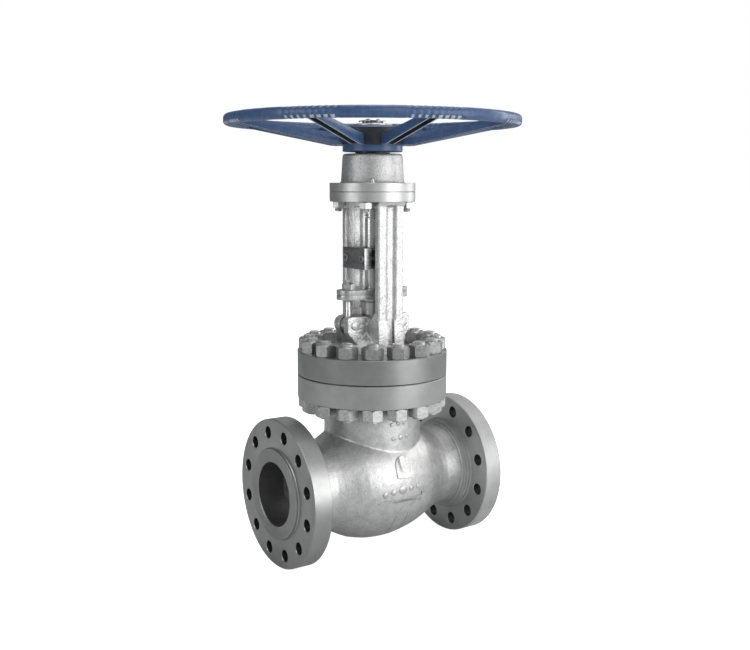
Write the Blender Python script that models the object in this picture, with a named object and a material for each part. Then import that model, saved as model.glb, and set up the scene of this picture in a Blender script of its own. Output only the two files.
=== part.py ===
"""Flanged globe valve, NPS 6 Class 600, bolted bonnet, outside screw and yoke, with a handwheel.

The pipe runs along X, the stem along Z, and the yoke's two arms stand on +Y and -Y.
The base of the flanges is at z = 0. The valve is modelled shut.
Each named object is one separate piece of the real valve.
"""
import bpy
import bmesh
from math import cos, sin, pi, radians
from mathutils import Matrix

for old in list(bpy.data.objects):
    bpy.data.objects.remove(old, do_unlink=True)

# Driving dimensions, in metres.
GAP = 0.0003                       # assembly gap between pieces that touch
FLANGE_R = 0.1778                  # end flange radius; the flanges stand on z = 0
PIPE_Z = FLANGE_R                  # height of the pipe's centreline
FACE_X = 0.2794                    # half the face-to-face length
FLANGE_T = 0.0477
RAISED_R = 0.10795
RAISED_T = 0.007
PORT_R = 0.0762                    # full bore of the ports
BOLT_R = 0.14605                   # end flange bolt circle radius
BOLT_HOLE_R = 0.0143
BOLT_COUNT = 12
BULB_R = 0.148                     # widest radius of the cast bulb
NECK_R = 0.119                     # outside of the body's upright neck
NECK_BORE_R = 0.094
RING_R = 0.1835                    # bonnet joint rings
RING_LOW_Z = PIPE_Z + 0.2068
JOINT_Z = PIPE_Z + 0.2632          # top face of the body ring
JOINT_SLOT = 0.0014                # sliver between the rings, held by the gasket
RING_TOP_Z = PIPE_Z + 0.3233
STUD_COUNT = 16
STUD_R = 0.014
STUD_CIRCLE_R = 0.1555
NUT_AF = 0.046
NUT_H = 0.028
STEM_R = 0.0185
STEM_BORE_R = STEM_R + 0.0004
BOX_R = 0.027                      # packing chamber radius
BOX_TOP_Z = PIPE_Z + 0.404
EYE_X = 0.070                      # gland eyebolts, either side of the stem
EYE_Z = PIPE_Z + 0.388
ARM_IN_Y = 0.062
ARM_OUT_Y = 0.082
ARM_HALF_W = 0.036
YOKE_TOP_Z = PIPE_Z + 0.706
YOKE_FLANGE_T = 0.0236
CAP_FLANGE_R = 0.1035
CAP_TOP_Z = PIPE_Z + 0.796
CAP_STUD_CIRCLE_R = 0.084
HUB_LOW_Z = PIPE_Z + 0.8004
HUB_TOP_Z = PIPE_Z + 0.862
WHEEL_R = 0.354
RIM_LOW_Z = PIPE_Z + 0.860
RIM_TOP_Z = PIPE_Z + 0.886
SPOKE_COUNT = 8
SPOKE_TURN = radians(33.4)         # direction of the first spoke
LIFT = 0.049                       # stem travel from shut to open

MATERIALS = {
    "cast_steel": ((0.52, 0.53, 0.53), 0.45, 0.9),
    "machined_steel": ((0.40, 0.41, 0.41), 0.32, 1.0),
    "bolting": ((0.36, 0.37, 0.37), 0.42, 1.0),
    "stem_steel": ((0.62, 0.63, 0.64), 0.22, 1.0),
    "trim_steel": ((0.55, 0.56, 0.57), 0.28, 1.0),
    "dark_plate": ((0.11, 0.11, 0.125), 0.5, 0.8),
    "wheel_paint": ((0.07, 0.13, 0.32), 0.38, 0.0),
    "bronze": ((0.55, 0.37, 0.16), 0.35, 1.0),
    "graphite": ((0.04, 0.04, 0.042), 0.7, 0.0),
}


def material(name):
    """The Principled material of that name, made the first time it is asked for."""
    found = bpy.data.materials.get(name)
    if found:
        return found
    colour, rough, metal = MATERIALS[name]
    made = bpy.data.materials.new(name)
    made.use_nodes = True
    shader = made.node_tree.nodes["Principled BSDF"]
    shader.inputs["Base Color"].default_value = (*colour, 1.0)
    shader.inputs["Roughness"].default_value = rough
    shader.inputs["Metallic"].default_value = metal
    return made


def finish(name, bm, mat=None, smooth=True):
    """Turn a bmesh into a named object with outward normals, its material and its shading."""
    bmesh.ops.remove_doubles(bm, verts=bm.verts, dist=1e-7)
    bmesh.ops.recalc_face_normals(bm, faces=bm.faces)
    mesh = bpy.data.meshes.new(name)
    bm.to_mesh(mesh)
    bm.free()
    obj = bpy.data.objects.new(name, mesh)
    bpy.context.scene.collection.objects.link(obj)
    if mat:
        mesh.materials.append(material(mat))
    if smooth:
        mesh.shade_smooth()
        mesh.set_sharp_from_angle(angle=radians(32))
    return obj


def turned(name, profile, mat=None, segs=48, axis="Z", at=(0, 0, 0), flip=False, turn=0.0):
    """A turned solid from a closed outline of (radius, height) points."""
    bm = bmesh.new()
    rings = []
    for r, h in profile:
        if r < 1e-9:
            rings.append([bm.verts.new((0, 0, h))] * segs)
        else:
            angles = [turn + 2 * pi * i / segs for i in range(segs)]
            rings.append([bm.verts.new((r * cos(a), r * sin(a), h)) for a in angles])
    count = len(rings)
    for k in range(count):
        low = rings[k]
        high = rings[(k + 1) % count]
        for i in range(segs):
            j = (i + 1) % segs
            corners = []
            for v in (low[i], low[j], high[j], high[i]):
                if v not in corners:
                    corners.append(v)
            if len(corners) >= 3:
                bm.faces.new(corners)
    place(bm, axis, at, flip)
    return finish(name, bm, mat)


def place(bm, axis, at, flip=False):
    """Lay a shape built up Z along the named axis, then move it to its place."""
    turn = Matrix.Identity(4)
    if axis == "X":
        turn = Matrix.Rotation(pi / 2, 4, "Y")
    if axis == "Y":
        turn = Matrix.Rotation(-pi / 2, 4, "X")
    if flip:
        turn = turn @ Matrix.Rotation(pi, 4, "X")
    bmesh.ops.transform(bm, matrix=Matrix.Translation(at) @ turn, verts=bm.verts)


def rod(name, r, z0, z1, mat=None, segs=32, axis="Z", at=(0, 0, 0), chamfer=0.0):
    """A solid round bar between two heights, with an optional chamfer at both ends."""
    if chamfer:
        outline = [(0, z0), (r - chamfer, z0), (r, z0 + chamfer),
                   (r, z1 - chamfer), (r - chamfer, z1), (0, z1)]
    else:
        outline = [(0, z0), (r, z0), (r, z1), (0, z1)]
    return turned(name, outline, mat, segs, axis, at)


def tube(name, r_in, r_out, z0, z1, mat=None, segs=48, at=(0, 0, 0)):
    """A plain ring."""
    outline = [(r_in, z0), (r_out, z0), (r_out, z1), (r_in, z1)]
    return turned(name, outline, mat, segs, "Z", at)


def slab(name, outline, lo, hi, axis="Z", mat=None, smooth=False):
    """An outline of (u, v) points drawn out along an axis. X takes (y, z), Y (x, z), Z (x, y)."""
    spots = {
        "X": lambda u, v, w: (w, u, v),
        "Y": lambda u, v, w: (u, w, v),
        "Z": lambda u, v, w: (u, v, w),
    }[axis]
    bm = bmesh.new()
    low = [bm.verts.new(spots(u, v, lo)) for u, v in outline]
    high = [bm.verts.new(spots(u, v, hi)) for u, v in outline]
    count = len(outline)
    bm.faces.new(low)
    bm.faces.new(list(reversed(high)))
    for i in range(count):
        j = (i + 1) % count
        bm.faces.new((low[i], high[i], high[j], low[j]))
    return finish(name, bm, mat, smooth)


def block(name, x0, x1, y0, y1, z0, z1, mat=None):
    """A plain box."""
    return slab(name, [(x0, y0), (x1, y0), (x1, y1), (x0, y1)], z0, z1, "Z", mat)


def arc(cx, cy, r, a0, a1, steps):
    """Points along an arc, angles in degrees."""
    angles = [radians(a0 + (a1 - a0) * i / steps) for i in range(steps + 1)]
    return [(cx + r * cos(a), cy + r * sin(a)) for a in angles]


def merge(name, parts):
    """Several separate cutters kept as one object."""
    bm = bmesh.new()
    for part in parts:
        part.data.transform(part.matrix_world)
        bm.from_mesh(part.data)
        bpy.data.objects.remove(part, do_unlink=True)
    return finish(name, bm, None, False)


def combine(target, other, operation):
    """Add an exact boolean to the target and hide the object it works with."""
    step = target.modifiers.new(operation.lower() + "_" + other.name, "BOOLEAN")
    step.operation = operation
    step.solver = "EXACT"
    step.object = other
    other.hide_render = True
    other.display_type = "WIRE"


def cut(target, other):
    combine(target, other, "DIFFERENCE")


def join(target, other):
    combine(target, other, "UNION")


def around(count, radius, first=0.0):
    """Evenly spaced places on a circle, as (angle, x, y)."""
    angles = [first + 2 * pi * i / count for i in range(count)]
    return [(a, radius * cos(a), radius * sin(a)) for a in angles]


def nut_outline(r_hole, af, z0, z1):
    """Outline of a six-sided nut with its corners taken off, for turning with 6 segments."""
    corner = af / 2 / cos(pi / 6)
    return [(r_hole, z0), (corner, z0), (corner, z1 - 0.0016), (corner * 0.93, z1), (r_hole, z1)]


# ---- Body: one casting with both end flanges, the bulb, the upright neck and its ring ----

def body_outside():
    """The bulb, hubs and flanges turned about the pipe's axis."""
    bulb = [(0.1115, -0.140), (0.1275, -0.110), (0.1410, -0.074), (0.1470, -0.036), (BULB_R, -0.008),
            (0.1430, 0.036), (0.1345, 0.074), (0.1205, 0.110), (0.1080, 0.140)]
    end = [(0.1025, 0.168), (0.102, 0.204), (0.1135, 0.2085),
           (0.1155, FACE_X - RAISED_T - FLANGE_T), (FLANGE_R, FACE_X - RAISED_T - FLANGE_T),
           (FLANGE_R, FACE_X - RAISED_T), (RAISED_R, FACE_X - RAISED_T), (RAISED_R, FACE_X)]
    start = [(r, -x) for r, x in reversed(end)]
    return [(0, -FACE_X)] + start + bulb + end + [(0, FACE_X)]


def body_inside():
    """The full bore and the hollow of the bulb, before the web is left standing in it."""
    right = [(0.128, 0.0), (0.121, 0.060), (0.100, 0.112), (0.082, 0.152), (PORT_R, 0.185),
             (PORT_R, FACE_X + 0.01)]
    half = [(r, -x) for r, x in reversed(right)]
    return [(0, -FACE_X - 0.01)] + half + right[1:] + [(0, FACE_X + 0.01)]


def web_outline():
    """The S-shaped wall between the inlet and outlet chambers, as (x, z)."""
    half = [(-0.165, 0.112), (-0.098, 0.019), (0.1053, 0.019), (0.1812, -0.0863)]
    mid_z = 0.007
    other = [(-x, 2 * mid_z - z) for x, z in half]
    return [(x, PIPE_Z + z) for x, z in half + other]


def build_body():
    centre = (0, 0, PIPE_Z)
    body = turned("body", body_outside(), "cast_steel", 44, "X", centre)
    neck = turned("body_neck", [
        (0, PIPE_Z + 0.004), (NECK_R, PIPE_Z + 0.004), (NECK_R, RING_LOW_Z - 0.010),
        (NECK_R + 0.008, RING_LOW_Z), (RING_R, RING_LOW_Z), (RING_R, JOINT_Z), (0.1123, JOINT_Z),
        (0.1123, JOINT_Z - 0.004), (0, JOINT_Z - 0.004)], None, 48, turn=0.02)
    join(body, neck)

    hollow = turned("body_hollow", body_inside(), None, 28, "X", centre, turn=0.05)
    riser = turned("body_riser", [
        (0, PIPE_Z + 0.002), (NECK_BORE_R, PIPE_Z + 0.002), (NECK_BORE_R, JOINT_Z + 0.01),
        (0, JOINT_Z + 0.01)], None, 36, turn=0.03)
    join(hollow, riser)
    web = slab("body_web", web_outline(), -0.16, 0.16, "Y")
    cut(hollow, web)
    cut(body, hollow)

    seat_hole = turned("body_seat_hole", [
        (0, PIPE_Z - 0.02), (0.071, PIPE_Z - 0.02), (0.071, PIPE_Z + 0.006),
        (0.0823, PIPE_Z + 0.006), (0.0823, PIPE_Z + 0.03), (0, PIPE_Z + 0.03)], None, 40, turn=0.04)
    cut(body, seat_hole)

    holes = []
    for side in (-1, 1):
        for i, (_, u, v) in enumerate(around(BOLT_COUNT, BOLT_R, pi / BOLT_COUNT)):
            hole = rod("end_hole_%d_%d" % (side, i), BOLT_HOLE_R, -0.04, 0.04, None, 10, "X",
                       (side * (FACE_X - 0.030), u, PIPE_Z + v))
            holes.append(hole)
    for i, (_, x, y) in enumerate(around(STUD_COUNT, STUD_CIRCLE_R, pi / STUD_COUNT)):
        holes.append(rod("ring_hole_%d" % i, STUD_R + 0.001, RING_LOW_Z - 0.01, JOINT_Z + 0.01,
                         None, 10, "Z", (x, y, 0)))
    cut(body, merge("body_bolt_holes", holes))
    return body


# ---- Trim: seat, disc, disc nut and stem ----

def build_trim():
    seat_top = PIPE_Z + 0.022
    turned("seat_ring", [
        (0.0695, PIPE_Z + 0.0063), (0.082, PIPE_Z + 0.0063), (0.082, seat_top),
        (0.0725, seat_top), (0.0695, seat_top - 0.003)], "trim_steel", 32)
    low = seat_top + GAP
    turned("disc", [
        (0, low), (0.074, low), (0.079, low + 0.005), (0.079, low + 0.020), (0.070, low + 0.030),
        (0.042, low + 0.036), (0.042, low + 0.062), (0.0313, low + 0.062), (0.0313, low + 0.014),
        (0, low + 0.014)], "trim_steel", 28)
    nut_low = low + 0.034
    turned("disc_nut", [
        (0.0192, nut_low), (0.031, nut_low), (0.031, low + 0.0623), (0.040, low + 0.0623),
        (0.040, low + 0.081), (0.0192, low + 0.081)], "trim_steel", 28)
    head = low + 0.0143
    top = PIPE_Z + 0.878
    turned("stem", [
        (0, head), (0.026, head), (0.026, head + 0.0185), (STEM_R, head + 0.0185),
        (STEM_R, PIPE_Z + 0.158), (0.0265, PIPE_Z + 0.166), (0.0265, PIPE_Z + 0.182),
        (STEM_R, PIPE_Z + 0.190), (STEM_R, top - 0.003), (STEM_R - 0.003, top), (0, top)],
        "stem_steel", 24)


# ---- Bonnet and yoke: one casting ----

def arm_outline(side):
    """One yoke arm's section: a broad rib with a deep channel outside and a shallow one inside."""
    inner = ARM_IN_Y
    outer = ARM_OUT_Y
    half = ARM_HALF_W
    right = [(0.0095, inner + 0.0055), (0.0125, inner)]
    right += [(half - 0.004, inner), (half, inner + 0.004), (half, outer - 0.007)]
    right += [(half - 0.002, outer - 0.002), (half - 0.007, outer), (0.0135, outer),
              (0.0105, outer - 0.008)]
    points = right + [(-x, y) for x, y in reversed(right)]
    return [(x, side * y) for x, y in points]


def build_bonnet():
    low = JOINT_Z + JOINT_SLOT
    bonnet = turned("bonnet", [
        (NECK_BORE_R - 0.0010, PIPE_Z + 0.243), (NECK_BORE_R - 0.0010, low),
        (RING_R, low), (RING_R, RING_TOP_Z), (0.090, RING_TOP_Z), (0.074, RING_TOP_Z + 0.009),
        (0.066, RING_TOP_Z + 0.028), (0.047, PIPE_Z + 0.370), (0.047, BOX_TOP_Z - 0.003),
        (0.044, BOX_TOP_Z), (BOX_R, BOX_TOP_Z), (BOX_R, PIPE_Z + 0.318), (0.0215, PIPE_Z + 0.318),
        (0.0215, PIPE_Z + 0.2623), (0.034, PIPE_Z + 0.2623), (0.034, PIPE_Z + 0.243)],
        "cast_steel", 48, turn=0.02)

    flange_low = YOKE_TOP_Z - YOKE_FLANGE_T
    for side, tag in ((-1, "front"), (1, "rear")):
        arm = slab("yoke_arm_" + tag, arm_outline(side), RING_TOP_Z - 0.004, flange_low + 0.006)
        join(bonnet, arm)
        root = slab("yoke_root_" + tag, [
            (side * 0.030, RING_TOP_Z - 0.004), (side * 0.086, RING_TOP_Z - 0.004),
            (side * 0.084, RING_TOP_Z + 0.012), (side * 0.0805, BOX_TOP_Z - 0.004),
            (side * 0.060, BOX_TOP_Z + 0.014), (side * 0.030, BOX_TOP_Z - 0.014)],
            -0.0375, 0.0375, "X")
        join(bonnet, root)
    top = turned("yoke_top_flange", [
        (0.036, flange_low), (CAP_FLANGE_R, flange_low), (CAP_FLANGE_R, YOKE_TOP_Z),
        (0.036, YOKE_TOP_Z)], None, 40, turn=0.03)
    join(bonnet, top)

    for side, tag in ((-1, "left"), (1, "right")):
        lug = [(side * 0.035, PIPE_Z + 0.335), (side * 0.066, PIPE_Z + 0.341)]
        ear = arc(EYE_X, EYE_Z, 0.0215, -40, 90, 7)
        lug += [(side * x, z) for x, z in ear]
        lug += [(side * 0.035, EYE_Z + 0.0215)]
        join(bonnet, slab("gland_lug_" + tag, lug, -0.032, 0.032, "Y"))
    slots = [block("lug_slot_l", -0.11, -0.0495, -0.0102, 0.0102, PIPE_Z + 0.362, PIPE_Z + 0.43),
             block("lug_slot_r", 0.0495, 0.11, -0.0102, 0.0102, PIPE_Z + 0.362, PIPE_Z + 0.43)]
    cut(bonnet, merge("lug_slots", slots))
    pins = [rod("lug_pin_hole_l", 0.0083, -0.05, 0.05, None, 20, "Y", (-EYE_X, 0, EYE_Z)),
            rod("lug_pin_hole_r", 0.0083, -0.05, 0.05, None, 20, "Y", (EYE_X, 0, EYE_Z))]
    cut(bonnet, merge("lug_pin_holes", pins))

    holes = []
    for i, (_, x, y) in enumerate(around(STUD_COUNT, STUD_CIRCLE_R, pi / STUD_COUNT)):
        holes.append(rod("bonnet_hole_%d" % i, STUD_R + 0.001, low - 0.01, RING_TOP_Z + 0.01,
                         None, 10, "Z", (x, y, 0)))
    for i, (_, x, y) in enumerate(around(4, CAP_STUD_CIRCLE_R, pi / 4)):
        holes.append(rod("yoke_hole_%d" % i, 0.0099, flange_low - 0.01, YOKE_TOP_Z + 0.01,
                         None, 10, "Z", (x, y, 0)))
    cut(bonnet, merge("bonnet_bolt_holes", holes))

    tube("bonnet_gasket", 0.0952, 0.1118, JOINT_Z - 0.004 + GAP, low - GAP, "graphite", 32)
    turned("backseat_bushing", [
        (STEM_BORE_R, PIPE_Z + 0.2445), (0.0225, PIPE_Z + 0.2405), (0.0337, PIPE_Z + 0.2405),
        (0.0337, PIPE_Z + 0.262), (STEM_BORE_R, PIPE_Z + 0.262)], "trim_steel", 24)


# ---- Bonnet studs: each stud with the heavy nut at either end ----

def build_bonnet_studs():
    """Each stud and its two made-up nuts count as one piece of the assembly."""
    for i, (a, x, y) in enumerate(around(STUD_COUNT, STUD_CIRCLE_R, pi / STUD_COUNT)):
        top = RING_TOP_Z + GAP
        low = RING_LOW_Z - GAP
        stud = rod("bonnet_stud_%02d" % (i + 1), STUD_R, low - NUT_H - 0.007, top + NUT_H + 0.007,
                   "bolting", 10, "Z", (x, y, 0))
        for tag, z0 in (("upper", top), ("lower", low - NUT_H)):
            outline = nut_outline(0, NUT_AF, z0, z0 + NUT_H)
            nut = turned("stud_nut_%s_%02d" % (tag, i + 1), outline, None, 6, "Z", (x, y, 0),
                         False, a + pi / 6)
            join(stud, nut)


# ---- Stuffing box and gland ----

def build_packing():
    low = PIPE_Z + 0.3183
    for i in range(5):
        z0 = low + i * 0.0123
        tube("packing_ring_%d" % (i + 1), STEM_BORE_R + 0.0002, BOX_R - GAP, z0, z0 + 0.012,
             "graphite", 24)
    follower_low = low + 5 * 0.0123
    turned("gland_follower", [
        (STEM_BORE_R + 0.0002, follower_low), (BOX_R - 0.0004, follower_low),
        (BOX_R - 0.0004, PIPE_Z + 0.440), (0.031, PIPE_Z + 0.4415), (0.031, PIPE_Z + 0.4487),
        (STEM_BORE_R + 0.0002, PIPE_Z + 0.4487)], "trim_steel", 24)


def build_gland():
    z0 = PIPE_Z + 0.449
    z1 = PIPE_Z + 0.472
    outline = arc(EYE_X, 0, 0.028, -68, 68, 6) + arc(0, 0, 0.040, 72, 108, 4)
    outline += arc(-EYE_X, 0, 0.028, 112, 248, 6) + arc(0, 0, 0.040, 252, 288, 4)
    flange = slab("gland_flange", outline, z0, z1, "Z", "bolting", True)
    holes = [rod("gland_stem_hole", 0.0225, z0 - 0.01, z1 + 0.01, None, 28),
             rod("gland_bolt_hole_l", 0.0090, z0 - 0.01, z1 + 0.01, None, 16, "Z", (-EYE_X, 0, 0)),
             rod("gland_bolt_hole_r", 0.0090, z0 - 0.01, z1 + 0.01, None, 16, "Z", (EYE_X, 0, 0))]
    cut(flange, merge("gland_holes", holes))

    for side, tag in ((-1, "left"), (1, "right")):
        x = side * EYE_X
        bolt = rod("eyebolt_" + tag, 0.008, EYE_Z, PIPE_Z + 0.4965, "bolting", 12, "Z", (x, 0, 0))
        eye = rod("eye_" + tag, 0.0175, -0.0095, 0.0095, None, 20, "Y", (x, 0, EYE_Z))
        join(bolt, eye)
        hole = rod("eye_hole_" + tag, 0.0083, -0.02, 0.02, None, 14, "Y", (x, 0, EYE_Z))
        cut(bolt, hole)
        turned("eyebolt_nut_" + tag, nut_outline(0.0083, 0.027, z1 + GAP, z1 + 0.0155), "bolting",
               6, "Z", (x, 0, 0), False, pi / 6)
        turned("eyebolt_pin_" + tag, [
            (0, -0.0353), (0.011, -0.0353), (0.011, -0.0323), (0.0080, -0.0323),
            (0.0080, 0.0323), (0.011, 0.0323), (0.011, 0.0353), (0, 0.0353)],
            "bolting", 16, "Y", (x, 0, EYE_Z))
    for tag in ("left", "right"):
        open_nut(bpy.data.objects["eyebolt_nut_" + tag])


def open_nut(nut):
    """Give a nut a round hole in place of the six-sided one that turning leaves."""
    x = EYE_X if nut.name.endswith("right") else -EYE_X
    hole = rod(nut.name + "_hole", 0.0084, PIPE_Z + 0.46, PIPE_Z + 0.50, None, 14, "Z", (x, 0, 0))
    cut(nut, hole)


# ---- Stem guide: a block gripped on the stem, which slides between the arms ----

def build_guide():
    z0 = PIPE_Z + 0.522
    z1 = PIPE_Z + 0.573
    plate_x = 0.0342
    guide = block("stem_guide_block", -plate_x, plate_x, -0.0265, 0.0265, z0, z1, "dark_plate")
    tongue = block("stem_guide_tongue", -0.022, 0.022, -ARM_IN_Y + 0.0006, ARM_IN_Y - 0.0006,
                   z0 + 0.004, z1 - 0.004)
    join(guide, tongue)
    cut(guide, rod("stem_guide_hole", STEM_R + 0.0003, z0 - 0.01, z1 + 0.01, None, 24))
    bolt_z = (z0 + z1) / 2
    bolt_y = 0.0345
    clear = [rod("guide_clear_%d" % i, 0.0064, -0.07, 0.07, None, 14, "X", (0, s * bolt_y, bolt_z))
             for i, s in enumerate((-1, 1))]
    cut(guide, merge("guide_clearance", clear))
    for side, tag in ((-1, "front"), (1, "rear")):
        xs = sorted((side * (plate_x + GAP), side * 0.0537))
        plate = block("guide_plate_" + tag, xs[0], xs[1], -0.0468, 0.0468, z0, z1, "dark_plate")
        drilled = [rod("plate_hole_%s_%d" % (tag, i), 0.0064, -0.08, 0.08, None, 14, "X",
                       (0, s * bolt_y, bolt_z)) for i, s in enumerate((-1, 1))]
        cut(plate, merge("plate_holes_" + tag, drilled))
    for s, tag in ((-1, "near"), (1, "far")):
        turned("guide_bolt_" + tag, [
            (0, -0.0575), (0.0095, -0.0575), (0.0095, -0.0540), (0.0060, -0.0540),
            (0.0060, 0.0540), (0.0095, 0.0540), (0.0095, 0.0575), (0, 0.0575)],
            "bolting", 14, "X", (0, s * bolt_y, bolt_z))


# ---- Yoke cap, its studs and the turning parts it holds ----

def build_cap():
    low = YOKE_TOP_Z + GAP
    flange_top = PIPE_Z + 0.727
    cap = turned("yoke_cap", [
        (0.0605, low), (CAP_FLANGE_R, low), (CAP_FLANGE_R, flange_top), (0.0765, flange_top),
        (0.0722, CAP_TOP_Z - 0.005), (0.0675, CAP_TOP_Z), (0.0421, CAP_TOP_Z),
        (0.0421, PIPE_Z + 0.7583), (0.0605, PIPE_Z + 0.7583)], "cast_steel", 40)
    holes = [rod("cap_hole_%d" % i, 0.0096, low - 0.01, flange_top - 0.0045, None, 10, "Z", (x, y, 0))
             for i, (_, x, y) in enumerate(around(4, CAP_STUD_CIRCLE_R, pi / 4))]
    cut(cap, merge("cap_holes", holes))

    nipple_a = radians(-124.1)
    spot = (0.091 * cos(nipple_a), 0.091 * sin(nipple_a), 0)
    turned("grease_nipple", [
        (0, flange_top + GAP), (0.005, flange_top + GAP), (0.005, flange_top + 0.004),
        (0.0028, flange_top + 0.005), (0.0034, flange_top + 0.008), (0.002, flange_top + 0.0105),
        (0, flange_top + 0.0105)], "stem_steel", 12, "Z", spot)

    flange_low = YOKE_TOP_Z - YOKE_FLANGE_T
    for i, (a, x, y) in enumerate(around(4, CAP_STUD_CIRCLE_R, pi / 4)):
        stud = rod("yoke_cap_stud_%d" % (i + 1), 0.009, flange_low - 0.0245, flange_top - 0.005,
                   "bolting", 10, "Z", (x, y, 0))
        nut = turned("cap_nut_%d" % (i + 1), nut_outline(0, 0.028, flange_low - 0.0153, flange_low - GAP),
                     None, 6, "Z", (x, y, 0), False, a + pi / 6)
        join(stud, nut)

    turned("yoke_sleeve", [
        (STEM_BORE_R, PIPE_Z + 0.690), (0.0355, PIPE_Z + 0.690), (0.0355, PIPE_Z + 0.7205),
        (0.0585, PIPE_Z + 0.7205), (0.0585, PIPE_Z + 0.7445), (0.0416, PIPE_Z + 0.7445),
        (0.0416, HUB_LOW_Z - GAP), (0.030, HUB_LOW_Z - GAP), (0.030, HUB_TOP_Z),
        (0.0255, HUB_TOP_Z), (0.0255, PIPE_Z + 0.8725), (STEM_BORE_R, PIPE_Z + 0.8725)],
        "bronze", 32)
    tube("thrust_washer_lower", 0.0385, 0.0600, low + GAP, PIPE_Z + 0.7202, "bronze", 32)
    tube("thrust_washer_upper", 0.0421, 0.0600, PIPE_Z + 0.7448, PIPE_Z + 0.7580, "bronze", 32)


# ---- Handwheel: hub, eight channel spokes and a rounded rim ----

def rim_outline():
    """The rim's section: a flat-sided band with well-rounded edges."""
    outer = WHEEL_R
    inner = WHEEL_R - 0.030
    r = 0.009
    points = []
    for cx, cz, a0 in ((outer - r, RIM_LOW_Z + r, -90), (outer - r, RIM_TOP_Z - r, 0),
                       (inner + r, RIM_TOP_Z - r, 90), (inner + r, RIM_LOW_Z + r, 180)):
        points += arc(cx, cz, r, a0, a0 + 90, 2)
    return points


def spoke(index, angle):
    """An arm with an upside-down channel section, rising from the hub to the rim."""
    half = 0.0125
    wall = 0.0045
    r0 = 0.050
    r1 = 0.100
    r2 = WHEEL_R - 0.018
    z_hub = PIPE_Z + 0.8156
    z_rim = RIM_LOW_Z + 0.002
    h_hub = 0.027
    h_rim = 0.016
    side = [(r0, z_hub), (r1, z_hub), (r2, z_rim), (r2, z_rim + h_rim), (r1, z_hub + h_hub),
            (r0, z_hub + h_hub)]
    solid = slab("spoke_%d" % index, side, -half, half, "Y")
    drop = 0.005
    hollow_side = [(0.088, z_hub - 0.01), (r1, z_hub - 0.01), (r2 - 0.012, z_rim - 0.010),
                   (r2 - 0.012, z_rim + h_rim - drop), (r1, z_hub + h_hub - drop),
                   (0.088, z_hub + h_hub - drop)]
    hollow = slab("spoke_hollow_%d" % index, hollow_side, -half + wall, half - wall, "Y")
    for obj in (solid, hollow):
        obj.data.transform(Matrix.Rotation(angle, 4, "Z"))
    return solid, hollow


def build_handwheel():
    hub_r = 0.083
    drum_low = PIPE_Z + 0.8154
    drum_top = PIPE_Z + 0.858
    wheel = turned("handwheel", [
        (0.0304, HUB_LOW_Z), (0.0721, HUB_LOW_Z), (0.0721, drum_low), (hub_r, drum_low),
        (hub_r, drum_top), (hub_r - 0.010, drum_top), (hub_r - 0.012, drum_top - 0.020),
        (0.052, drum_top - 0.022), (0.049, HUB_TOP_Z), (0.0304, HUB_TOP_Z)], "wheel_paint", 32)
    rim = turned("wheel_rim", rim_outline(), None, 64)
    hollows = []
    for i in range(SPOKE_COUNT):
        solid, hollow = spoke(i, SPOKE_TURN + 2 * pi * i / SPOKE_COUNT)
        join(wheel, solid)
        hollows.append(hollow)
    join(wheel, rim)
    cut(wheel, merge("spoke_hollows", hollows))
    keyway = block("wheel_keyway", 0.024, 0.0345, -0.0053, 0.0053, HUB_LOW_Z + 0.012, HUB_TOP_Z + 0.002)
    cut(wheel, keyway)
    cut(bpy.data.objects["yoke_sleeve"], block(
        "sleeve_keyway", 0.0262, 0.0345, -0.0053, 0.0053, HUB_LOW_Z + 0.012, HUB_TOP_Z + 0.002))
    block("handwheel_key", 0.0266, 0.0341, -0.0050, 0.0050, HUB_LOW_Z + 0.0124, HUB_TOP_Z - 0.0006,
          "stem_steel")

    turned("handwheel_washer", [
        (0.0260, HUB_TOP_Z + GAP), (0.047, HUB_TOP_Z + GAP), (0.047, HUB_TOP_Z + 0.0040),
        (0.0260, HUB_TOP_Z + 0.0040)], "bolting", 32)
    nut = turned("handwheel_locknut", nut_outline(0, 0.058, HUB_TOP_Z + 0.0043, PIPE_Z + 0.8742),
                 "bolting", 6)
    cut(nut, rod("locknut_hole", 0.0259, HUB_TOP_Z, PIPE_Z + 0.88, None, 32))


# ---- Small round tag pinned to the rim of the body ring ----

def build_tag():
    """A blank disc with its drive pin's head, hollowed at the back to sit on the ring."""
    tag = turned("identification_tag", [
        (0, RING_R - 0.002), (0.0100, RING_R - 0.002), (0.0100, RING_R + 0.0036),
        (0.0035, RING_R + 0.0036), (0.0028, RING_R + 0.0050), (0, RING_R + 0.0050)],
        "stem_steel", 20, "X")
    back = rod("tag_back", RING_R + GAP, -0.05, 0.05, None, 96)
    cut(tag, back)
    spot = Matrix.Translation((0, 0, PIPE_Z + 0.235)) @ Matrix.Rotation(radians(50), 4, "Z")
    for obj in (tag, back):
        obj.data.transform(spot)


build_body()
build_trim()
build_bonnet()
build_bonnet_studs()
build_packing()
build_gland()
build_guide()
build_cap()
build_handwheel()
build_tag()
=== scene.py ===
"""Looks of the flanged globe valve: finely modelled pieces, procedural materials, studio and camera."""

from math import atan2, cos, pi, radians, sin, sqrt

import bmesh
import bpy
from mathutils import Matrix, Vector, noise
from mathutils.bvhtree import BVHTree


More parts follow.
